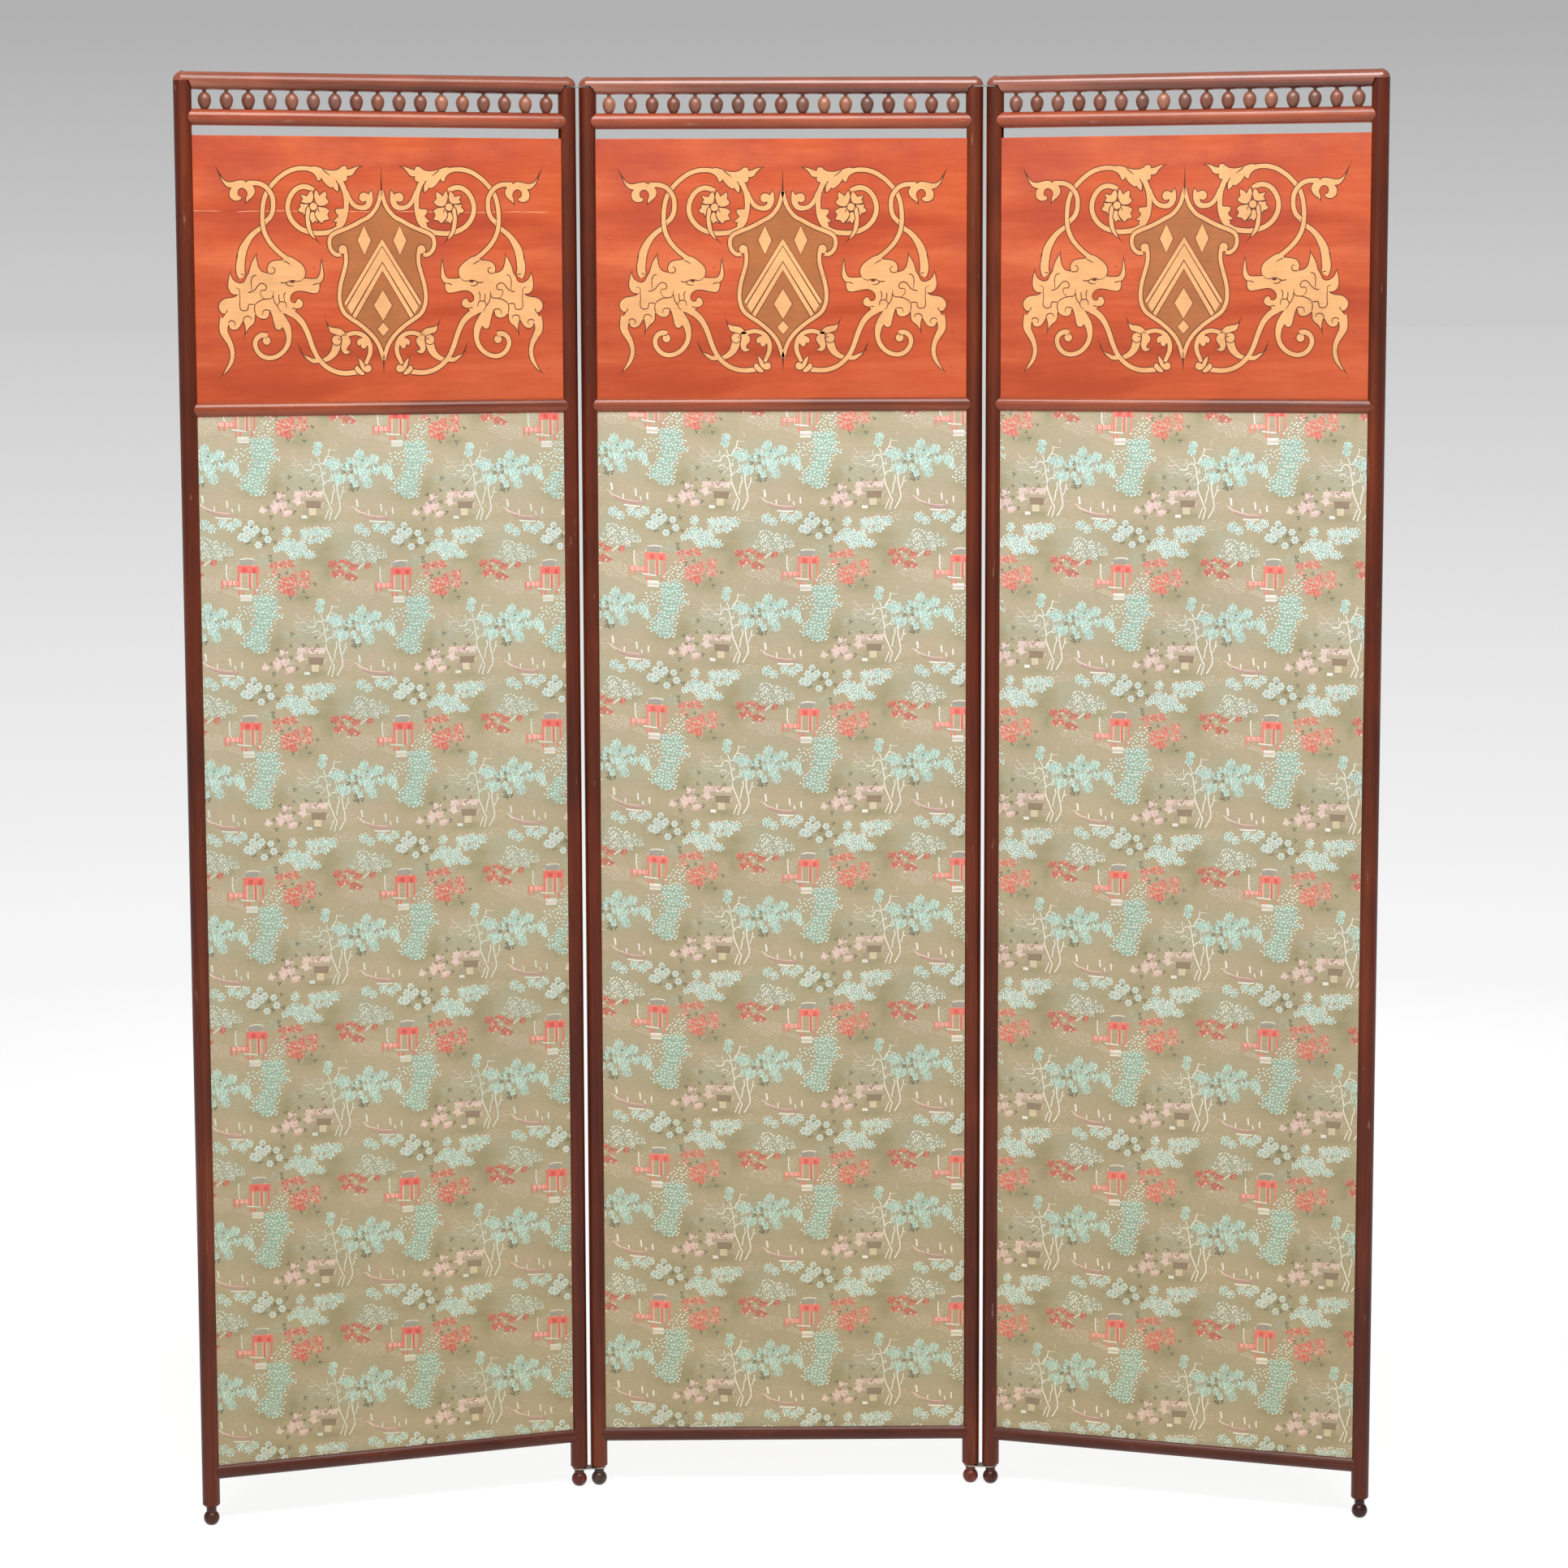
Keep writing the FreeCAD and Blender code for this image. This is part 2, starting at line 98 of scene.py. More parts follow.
studio = {
    "floorSize": 300,
    "floorPaint": 248,
    "floorSurface": {"Roughness": 0.9, "Specular IOR Level": 0.1},
    "backdropTones": ((0.167, 254), (0.27, 250), (0.39, 245), (0.45, 240), (0.59, 231), (0.76, 218),
                      (0.97, 204)),
    "fadeDistance": 8,  # the backdrop is halfway along its tones this far off
    "litReach": (1.6, 4.0),  # lamp light shows on the floor within the first, plain tones past the second
    "litShare": 0.3,
    "glow": 1.2,  # makes up for the share of the floor that only the lamps light
    "skyTones": ((0.0, 203), (0.066, 177), (0.3, 168)),
    "skyLight": 0.1,
    "lamps": {
        "keyPanel": {"place": (-1.7, -4.7, 2.75), "aim": (0.1, 0.1, 1.0), "size": (3.0, 1.6), "power": 28},
        "fillPanel": {"place": (3.0, -4.6, 2.0), "aim": (-0.1, 0.1, 0.8), "size": (3.0, 3.0), "power": 11,
                      "mirrored": False},
        "topPanel": {"place": (0.0, -1.7, 3.7), "aim": (0.0, 0.1, 1.2), "size": (2.6, 1.6), "power": 128},
        "backPanel": {"place": (0.6, 4.4, 2.6), "aim": (0.0, 0.0, 0.9), "size": (3.0, 3.0), "power": 125,
                      "mirrored": False},
    },
}


# Linear light from display values of 0 to 255, one for grey or three for a colour

def tone(red, green=None, blue=None):
    values = (red, red, red) if green is None else (red, green, blue)
    linear = [v / 255 / 12.92 if v < 10.3 else ((v / 255 + 0.055) / 1.055) ** 2.4 for v in values]
    return (*linear, 1.0)


def toneStops(shades):
    return [(place, tone(*shade) if isinstance(shade, tuple) else tone(shade)) for place, shade in shades]


def setCamera():
    pitch, yaw, roll = (math.radians(photoView[k]) for k in ("pitch", "yaw", "roll"))
    forward = Vector((math.sin(yaw) * math.cos(pitch), math.cos(yaw) * math.cos(pitch), math.sin(pitch)))
    level = Vector((math.cos(yaw), -math.sin(yaw), 0))
    above = level.cross(forward)
    right = level * math.cos(roll) + above * math.sin(roll)
    up = above * math.cos(roll) - level * math.sin(roll)
    data = bpy.data.cameras.new("photoCamera")
    data.sensor_width = photoView["sensor"]
    data.lens = photoView["sensor"] * photoView["focalPixels"] / photoView["imagePixels"]
    data.clip_end = 2 * studio["floorSize"]
    camera = newObject("photoCamera", data)
    facing = Matrix((right, up, -forward)).transposed().to_4x4()
    camera.matrix_world = Matrix.Translation(photoView["place"]) @ facing
    scene.camera = camera


# Small helpers for node trees. An input is a plain value or another node's socket.

def setInputs(tree, node, values):
    for key, value in values.items():
        if isinstance(value, bpy.types.NodeSocket):
            tree.links.new(value, node.inputs[key])
        else:
            node.inputs[key].default_value = value


def addNode(tree, kind, inputs=None, **settings):
    node = tree.nodes.new(kind)
    for key, value in settings.items():
        setattr(node, key, value)
    setInputs(tree, node, inputs or {})
    return node


def addRamp(tree, factor, stops):
    node = addNode(tree, "ShaderNodeValToRGB", {"Fac": factor})
    while len(node.color_ramp.elements) < len(stops):
        node.color_ramp.elements.new(0.5)
    for element, (place, colour) in zip(node.color_ramp.elements, stops):
        element.position = place
        element.color = colour
    return node.outputs["Color"]


def addMix(tree, factor, first, second, blend="MIX"):
    inputs = {0: factor, 6: first, 7: second}
    node = addNode(tree, "ShaderNodeMix", inputs, data_type="RGBA", blend_type=blend, clamp_factor=True)
    return node.outputs[2]


def addShade(tree, colour, level):
    grey = addNode(tree, "ShaderNodeCombineColor", {0: level, 1: level, 2: level}).outputs[0]
    return addMix(tree, 1.0, colour, grey, "MULTIPLY")


def addMath(tree, operation, first, second=0.0):
    return addNode(tree, "ShaderNodeMath", {0: first, 1: second}, operation=operation).outputs[0]


def addRange(tree, value, low, high, newLow, newHigh):
    sizes = {"From Min": low, "From Max": high, "To Min": newLow, "To Max": newHigh}
    return addNode(tree, "ShaderNodeMapRange", {"Value": value, **sizes}).outputs["Result"]


def addSplit(tree, where, axis):
    return addNode(tree, "ShaderNodeSeparateXYZ", {"Vector": where}).outputs[axis]


def stretched(tree, where, scale):
    return addNode(tree, "ShaderNodeMapping", {"Vector": where, "Scale": scale}).outputs["Vector"]


# The scale of a noise is one number, or one for each axis

def addNoise(tree, where, scale, detail, roughness, distortion=0.0):
    if isinstance(scale, tuple):
        where, scale = stretched(tree, where, scale), 1.0
    sizes = {"Scale": scale, "Detail": detail, "Roughness": roughness, "Distortion": distortion}
    return addNode(tree, "ShaderNodeTexNoise", {"Vector": where, **sizes}).outputs["Fac"]


def leafCoordinates(tree, leaf=None):
    where = addNode(tree, "ShaderNodeTexCoord").outputs["Object"]
    if leaf is None:
        return where
    shift = Matrix.Rotation(-leaf["turn"], 3, "Z") @ -leaf["origin"]
    inputs = {"Vector": where, "Location": shift, "Rotation": (0, 0, -leaf["turn"])}
    return addNode(tree, "ShaderNodeMapping", inputs).outputs["Vector"]


def newFinish(name):
    material = bpy.data.materials.new(name)
    material.use_nodes = True
    tree = material.node_tree
    tree.nodes.clear()
    output = addNode(tree, "ShaderNodeOutputMaterial")
    shader = addNode(tree, "ShaderNodeBsdfPrincipled")
    tree.links.new(shader.outputs[0], output.inputs[0])
    return material, tree, shader


# A finish's dictionary holds its noises (scale, detail, roughness, distortion), its ranges (from a low and
# a high value to new ones), its surface (more inputs of the shader) and its bump (depth, strength)

def setFinish(tree, shader, look, colour, roughness, relief):
    setInputs(tree, shader, {"Base Color": colour, "Roughness": roughness, **look["surface"]})
    depth, strength = look["bump"]
    bump = addNode(tree, "ShaderNodeBump", {"Height": relief, "Distance": depth, "Strength": strength})
    tree.links.new(bump.outputs["Normal"], shader.inputs["Normal"])


def addSeenRays(tree):
    path = addNode(tree, "ShaderNodeLightPath").outputs
    either = addMath(tree, "MAXIMUM", path["Is Camera Ray"], path["Is Glossy Ray"])
    return addMath(tree, "MAXIMUM", either, path["Is Transmission Ray"])


def joinShaders(tree, share, first, second, output):
    mixed = addNode(tree, "ShaderNodeMixShader", {0: share, 1: first.outputs[0], 2: second.outputs[0]})
    tree.links.new(mixed.outputs[0], output.inputs["Surface"])


def setFloor():
    size = studio["floorSize"] / 2
    mesh = bpy.data.meshes.new("paleFloor")
    corners = [(-size, -size, 0), (size, -size, 0), (size, size, 0), (-size, size, 0)]
    mesh.from_pydata(corners, [], [(0, 1, 2, 3)])
    floor = newObject("paleFloor", mesh)
    material, tree, shader = newFinish("paleFloor")
    where = leafCoordinates(tree)
    reach = addNode(tree, "ShaderNodeVectorMath", {0: where}, operation="LENGTH").outputs["Value"]
    share = addMath(tree, "DIVIDE", reach, addMath(tree, "ADD", reach, studio["fadeDistance"]))
    backdrop = addRamp(tree, share, toneStops(studio["backdropTones"]))
    setInputs(tree, shader, {"Base Color": tone(studio["floorPaint"]), **studio["floorSurface"]})
    lift = addRange(tree, reach, *studio["litReach"], studio["glow"], 1.0)
    glow = addNode(tree, "ShaderNodeEmission", {"Color": backdrop, "Strength": lift})
    away = addRange(tree, reach, *studio["litReach"], 1.0 - studio["litShare"], 1.0)
    plain = addMath(tree, "MULTIPLY", addSeenRays(tree), away)
    output = next(n for n in tree.nodes if n.type == "OUTPUT_MATERIAL")
    joinShaders(tree, plain, shader, glow, output)
    mesh.materials.append(material)


def setSky():
    world = bpy.data.worlds.new("softStudio")
    scene.world = world
    world.use_nodes = True
    tree = world.node_tree
    tree.nodes.clear()
    where = addNode(tree, "ShaderNodeTexCoord").outputs["Generated"]
    backdrop = addRamp(tree, addSplit(tree, where, "Z"), toneStops(studio["skyTones"]))
    seen = addNode(tree, "ShaderNodeBackground", {"Color": backdrop, "Strength": 1.0})
    light = addNode(tree, "ShaderNodeBackground", {"Color": tone(255), "Strength": studio["skyLight"]})
    joinShaders(tree, addSeenRays(tree), light, seen, addNode(tree, "ShaderNodeOutputWorld"))


def setLamps():
    for name, lamp in studio["lamps"].items():
        data = bpy.data.lights.new(name, "AREA")
        data.shape = "RECTANGLE"
        data.size, data.size_y = lamp["size"]
        data.energy = lamp["power"]
        thing = newObject(name, data)
        thing.visible_glossy = lamp.get("mirrored", True)
        facing = (Vector(lamp["aim"]) - Vector(lamp["place"])).to_track_quat("-Z", "Y").to_matrix().to_4x4()
        thing.matrix_world = Matrix.Translation(lamp["place"]) @ facing


setCamera()
setFloor()
setSky()
setLamps()
scene.view_settings.view_transform = "Standard"
print("camera, floor and light set")

# Wood finishes. The grain runs along X or Z of the leaf. Its noises have a scale across it and one along it,
# and the shades are dark, main and light.

woods = {
    "stile": {"grain": "Z", "shades": ((66, 20, 5), (98, 36, 12), (126, 58, 28)), "gloss": 0.36},
    "topRail": {"grain": "X", "shades": ((100, 46, 31), (148, 80, 58), (176, 110, 84)), "gloss": 0.3,
                "coat": 0.95},
    "galleryRail": {"grain": "X", "shades": ((106, 42, 24), (156, 72, 43), (182, 102, 67)), "gloss": 0.3,
                    "coat": 0.42},
    "middleRail": {"grain": "X", "shades": ((102, 39, 19), (150, 70, 38), (176, 98, 64)), "gloss": 0.28,
                   "coat": 0.4},
    "bottomRail": {"grain": "X", "shades": ((62, 24, 12), (92, 40, 24), (116, 60, 40)), "gloss": 0.36},
    "foot": {"grain": "Z", "shades": ((48, 20, 13), (74, 34, 22), (104, 58, 42)), "gloss": 0.24},
    "redFoot": {"grain": "Z", "shades": ((70, 22, 15), (104, 40, 30), (136, 66, 50)), "gloss": 0.22},
    "darkFoot": {"grain": "Z", "shades": ((38, 26, 20), (58, 42, 34), (88, 68, 56)), "gloss": 0.24},
}

dullCoats = {"left_top_rail": 0.35}  # a rail whose polish has worn
oddFeet = {"centre_right_foot": "redFoot", "left_inner_foot": "redFoot", "centre_left_foot": "darkFoot"}

woodGrain = {
    "figure": ((46, 1.6), 6, 0.62, 0.7),
    "pores": ((900, 26), 2, 0.6),
    "scuffs": ((150, 22), 4, 0.7),
    "patches": (5.5, 3, 0.6),
    "shadePlaces": (0.28, 0.5, 0.74),  # of the three shades in the figure
    "porous": (0.5, 0.72, 0.0, 0.5),
    "aged": (0.35, 0.68, 0.72, 1.22),
    "worn": (0.66, 0.78, 0.0, 0.55),
    "wearLight": (188, 150, 128),
    "dulled": (0.3, 0.7, 0.12, -0.04),  # added to a wood's gloss
    "coat": 0.12,
    "surface": {"Specular IOR Level": 0.24, "Coat Roughness": 0.13},
    "bump": (0.05 * mm, 0.6),
}


def addGrain(tree, where, axis, layer):
    (across, along), *rest = layer
    scale = (along, across, across) if axis == "X" else (across, across, along)
    return addNoise(tree, where, scale, *rest)


def stickFinish(name, wood, leaf=None, coat=None):
    material, tree, shader = newFinish(name)
    where = leafCoordinates(tree, leaf)
    figure = addGrain(tree, where, wood["grain"], woodGrain["figure"])
    pores = addGrain(tree, where, wood["grain"], woodGrain["pores"])
    scuffs = addGrain(tree, where, wood["grain"], woodGrain["scuffs"])
    patches = addNoise(tree, where, *woodGrain["patches"])
    colour = addRamp(tree, figure, toneStops(zip(woodGrain["shadePlaces"], wood["shades"])))
    colour = addMix(tree, addRange(tree, pores, *woodGrain["porous"]), colour, tone(*wood["shades"][0]))
    colour = addShade(tree, colour, addRange(tree, patches, *woodGrain["aged"]))
    colour = addMix(tree, addRange(tree, scuffs, *woodGrain["worn"]), colour, tone(*woodGrain["wearLight"]))
    low, high, duller, glossier = woodGrain["dulled"]
    gloss = addRange(tree, patches, low, high, wood["gloss"] + duller, wood["gloss"] + glossier)
    setFinish(tree, shader, woodGrain, colour, gloss, pores)
    shader.inputs["Coat Weight"].default_value = coat or wood.get("coat", woodGrain["coat"])
    return material


spindleWood = {
    "shades": ((0.0, (106, 70, 57)), (0.3, (134, 85, 67)), (0.55, (118, 66, 48)), (0.78, (152, 96, 72)),
               (1.0, (164, 108, 83))),
    "pitchCount": 18,  # spaces between the stiles
    "ownOrder": 40,  # gives each leaf its own order of shades
    "rings": ((420, 420, 90), 4, 0.6, 0.4),
    "ringShade": (0.3, 0.7, 0.78, 1.2),
    "gloss": (0.3, 0.7, 0.42, 0.3),
    "surface": {"Coat Weight": 0.2, "Coat Roughness": 0.2},
    "bump": (0.04 * mm, 0.5),
}


def spindleFinish(name, leaf):
    material, tree, shader = newFinish(name)
    where = leafCoordinates(tree, leaf)
    first, second = (nodeMiddle(stile) for stile in leaf["stiles"])
    pitch = (second - first).length / spindleWood["pitchCount"]
    count = addMath(tree, "DIVIDE", addSplit(tree, where, "X"), pitch)
    index = addMath(tree, "FLOOR", addMath(tree, "ADD", count, 0.5))
    seed = addMath(tree, "ADD", index, spindleWood["ownOrder"] * leaf["turn"])
    own = addNode(tree, "ShaderNodeTexWhiteNoise", {"W": seed}, noise_dimensions="1D").outputs["Value"]
    rings = addNoise(tree, where, *spindleWood["rings"])
    colour = addRamp(tree, own, toneStops(spindleWood["shades"]))
    colour = addShade(tree, colour, addRange(tree, rings, *spindleWood["ringShade"]))
    setFinish(tree, shader, spindleWood, colour, addRange(tree, rings, *spindleWood["gloss"]), rings)
    return material


boards = {
    "shades": ((178, 72, 38), (198, 88, 49), (211, 106, 66)),
    "maroon": (178, 72, 56),
    "speck": (126, 46, 24),
    "figure": ((3.5, 30, 24), 6, 0.66, 0.3),
    "shadePlaces": (0.34, 0.5, 0.68),
    "streaks": ((8, 600, 460), 3, 0.6),
    "streaked": (0.5, 0.75, 0.0, 0.24),
    "clouds": ((8, 8, 13), 4, 0.62),
    "clouded": (0.42, 0.66, 0.0, 0.75),  # with maroon, most at the top of the board
    "cloudShade": (0.3, 0.7, 1.06, 0.92),
    "specks": ((200, 260, 380), 2, 0.5),
    "specked": (0.69, 0.76, 0.0, 0.5),
    "gloss": (0.3, 0.7, 0.36, 0.26),
    "surface": {"Specular IOR Level": 0.28, "Coat Weight": 0.12, "Coat Roughness": 0.2},
    "bump": (0.03 * mm, 0.5),
}

crack = {
    "leaf": "left",  # a thin open joint crosses this leaf's board
    "drop": 87,  # below the top of the board
    "colour": (236, 176, 136),
    "wander": ((14, 0, 0), 2, 0.5),
    "wanders": (0.3, 0.7, -0.8 * mm, 0.8 * mm),
    "edge": (0.6 * mm, 0.2 * mm, 0.0, 0.8),
    "breaks": ((30, 0, 0), 2, 0.5),
    "broken": (0.42, 0.5, 0.0, 1.0),
}


def addCrack(tree, where, height, place, colour):
    wander = addRange(tree, addNoise(tree, where, *crack["wander"]), *crack["wanders"])
    line = addMath(tree, "ADD", height, wander)
    far = addMath(tree, "ABSOLUTE", addMath(tree, "SUBTRACT", line, place))
    thin = addRange(tree, far, *crack["edge"])
    broken = addRange(tree, addNoise(tree, where, *crack["breaks"]), *crack["broken"])
    return addMix(tree, addMath(tree, "MULTIPLY", thin, broken), colour, tone(*crack["colour"]))


def boardFinish(name, leaf, low, high, cracked):
    material, tree, shader = newFinish(name)
    where = leafCoordinates(tree, leaf)
    height = addSplit(tree, where, "Z")
    noises = [addNoise(tree, where, *boards[k]) for k in ("figure", "streaks", "clouds", "specks")]
    figure, streaks, clouds, specks = noises
    colour = addRamp(tree, figure, toneStops(zip(boards["shadePlaces"], boards["shades"])))
    colour = addMix(tree, addRange(tree, streaks, *boards["streaked"]), colour, tone(*boards["shades"][0]))
    upper = addMath(tree, "MULTIPLY", addRange(tree, height, low.z, high.z, 0.0, 1.0),
                    addRange(tree, clouds, *boards["clouded"]))
    colour = addMix(tree, upper, colour, tone(*boards["maroon"]))
    colour = addShade(tree, colour, addRange(tree, clouds, *boards["cloudShade"]))
    colour = addMix(tree, addRange(tree, specks, *boards["specked"]), colour, tone(*boards["speck"]))
    if cracked:
        colour = addCrack(tree, where, height, high.z - crack["drop"] * mm, colour)
    setFinish(tree, shader, boards, colour, addRange(tree, clouds, *boards["gloss"]), streaks)
    return material


steel = {
    "shades": ((0.3, (112, 100, 88)), (0.6, (176, 170, 160)), (0.8, (150, 120, 96))),
    "figure": (160, 5, 0.65),
    "gloss": (0.3, 0.7, 0.52, 0.3),
    "surface": {"Metallic": 1.0},
    "bump": (0.03 * mm, 0.6),
}

pine = {
    "shades": ((0.3, (176, 134, 84)), (0.6, (214, 178, 124)), (0.8, (228, 196, 146))),
    "figure": ((60, 60, 4), 4, 0.6, 0.5),
    "gloss": (0.3, 0.7, 0.75, 0.6),
    "surface": {},
    "bump": (0.05 * mm, 0.5),
}


def plainFinish(name, look):
    material, tree, shader = newFinish(name)
    figure = addNoise(tree, leafCoordinates(tree), *look["figure"])
    colour = addRamp(tree, figure, toneStops(look["shades"]))
    setFinish(tree, shader, look, colour, addRange(tree, figure, *look["gloss"]), figure)
    return material


def dress(name, material):
    mesh = nodes[name].data
    mesh.materials.clear()
    mesh.materials.append(material)


def dressFrames():
    darkenedSteel = plainFinish("darkenedSteel", steel)
    strainerPine = plainFinish("strainerPine", pine)
    stile = stickFinish("mahoganyStile", woods["stile"])
    feet = {key: stickFinish(key, woods[key]) for key in ("redFoot", "darkFoot")}
    feet["foot"] = stickFinish("turnedFoot", woods["foot"])
    for key, leaf in leaves.items():
        for part in ("top", "gallery", "middle", "bottom"):
            name = f"{key}_{part}_rail"
            label = key + part.title() + "Rail"
            dress(name, stickFinish(label, woods[part + "Rail"], leaf, dullCoats.get(name)))
        for name in leaf["stiles"]:
            foot = name.replace("stile", "foot")
            dress(name, stile)
            dress(foot, feet[oddFeet.get(foot, "foot")])
        dress(f"{key}_gallery_spindles", spindleFinish(key + "Spindles", leaf))
        board = f"{key}_inlaid_board"
        dress(board, boardFinish(key + "Board", leaf, *leafBox(leaf, board), key == crack["leaf"]))
        dress(f"{key}_corner_pins", darkenedSteel)
        for bar in ("left_upright", "right_upright", "bottom_bar", "cross_bar", "top_bar"):
            dress(f"{key}_strainer_{bar}", strainerPine)
    for side in ("left", "right"):
        for end in ("top", "bottom"):
            dress(f"{side}_{end}_hinge_link", darkenedSteel)


dressFrames()
print("frames, spindles and boards dressed")

# Brocade. One repeat of the figured weave is drawn flat, X across and Y up, then laid over each panel.

threads = {
    "ground": (190, 176, 145), "olive": (160, 153, 116), "haze": (182, 181, 156),
    "fawnGround": (198, 180, 152), "mint": (206, 232, 221), "paleMint": (226, 243, 234),
    "mintShade": (172, 204, 191), "cloud": (178, 206, 194), "teal": (168, 195, 176),
    "sage": (184, 192, 174), "white": (250, 249, 240), "coral": (249, 138, 124),
    "deepCoral": (236, 104, 92), "rose": (248, 188, 174), "maple": (200, 88, 70),
    "mapleShade": (204, 138, 116), "pink": (238, 214, 204), "pinkDeep": (230, 192, 182),
    "mist": (196, 212, 203), "petal": (222, 232, 224), "dark": (92, 97, 78), "roof": (158, 136, 114),
    "roofGrey": (172, 166, 154), "paleRoof": (192, 177, 152), "wall": (180, 166, 142),
    "hull": (196, 164, 150), "cream": (226, 212, 178), "fawn": (230, 216, 198),
}

# Painted shade: the silk of the left leaf catches the light less, so its white threads are painted duller
# and its dark and coral ones deeper

leafShadedThreads = {
    "left": {"white": (228, 236, 224), "dark": (88, 92, 72), "coral": (242, 122, 110),
             "deepCoral": (226, 92, 82)},
}

silk = {
    "warp": (450, 0, 0),  # stretch over the panel's width and height
    "weft": (0, 1100, 0),
    "woven": (0.0, 1.0, -0.05, 0.05),
    "slubs": ((60, 900, 1), 3, 0.6),
    "slubbed": (0.3, 0.7, 0.9, 1.08),
    "fading": ((3, 9, 1), 4, 0.6),
    "faded": (0.3, 0.7, 0.95, 1.05),
    "footShadeTint": (0.9, 0.85, 0.73),  # painted shade: the silk is darker and yellower towards the floor
    "footShadeReach": (0.1, 0.85),  # as a share of the panel's height
    "surface": {"Sheen Weight": 0.15, "Sheen Roughness": 0.4},
    "bump": (0.03 * mm, 0.5),
    "plain": {"gloss": (0.3, 0.7, 0.55, 0.45), "specular": 0.4},
    "figured": {"gloss": (0.3, 0.7, 0.42, 0.3), "specular": 0.55},
    "lining": (168, 156, 122),
}

brocade = {
    "repeat": (185, 185.5),
    "drawn": (187.2, 189),  # size of the repeat in the lists below
    "origins": {"left": (-195, 954), "centre": (-182.5, 960.5), "right": (-100, 953.3)},
    "slant": {  # rise of the pattern along each panel, as place across and rise
        "left": ((-226, 10), (-178, 7.2), (-87, 3), (7, 0), (96, -0.8), (192, -3.5), (226, -4.2)),
        "centre": ((-226, 10.5), (-211, 9.7), (-154, 5.4), (-113, 2.9), (-64, 0.5), (33, 0), (156, 1.5),
                   (226, 1)),
        "right": ((-226, 1.2), (-83, -0.8), (6, -0.3), (102, 1.3), (226, 0.7)),
    },
    "copies": (5, 9),  # columns and rows of the repeat
    "firstRow": -6,
    "drawSeed": 41,
    "scatterSeed": 7,
    "rise": 0.22,  # height of a thread float over the ground
    "sunk": 0.01,
    "threadRise": 1.2,  # of a drawn thread, as a share of the rise
    "threadSteps": 3,
    "blockEdge": 0.25,
    "blockStep": 0.008,  # each block lies this much over the one before
    "massCorners": 14,
    "massReach": (0.8, 1.08),
    "massRise": 0.06,
    "notch": 0.66,  # how far out the notches between a flower's lobes lie, as a share of its radius
    "patchCorners": 16,
    "densest": 1e6,  # floats to a square metre; their gaps keep them to far fewer
    "floatScale": (0.8, 1.2),
    "floatShade": (0.9, 0.2, 17),  # least shade of a float, its spread, and turns that mix the order
    "spot": 1.4,  # half size of a patch that holds one stamp
    "shadeDepth": 0.8,
    "crown": 0.6,  # how far the stretched cloth swells over its padding
    "roll": 9,  # width of the rolled edge
    "rollSteps": 4,
    "cells": (56, 150),
    "thick": 0.5,
    "tucked": (3.2, 1.6),  # edge without figures, hidden by the round of the stiles and the rails
}

# Each foliage group is scattered over oval patches: across, up, half width, half height, or a single spot

willowBoughs = (
    (48, 159, 17, 6), (49, 150, 19, 6.5), (51, 141, 20, 6.5), (46, 132, 15, 6.5), (43, 123, 14, 6.5),
    (39, 114, 17, 6.5), (36, 106, 18, 6), (41, 99, 12, 4),
)

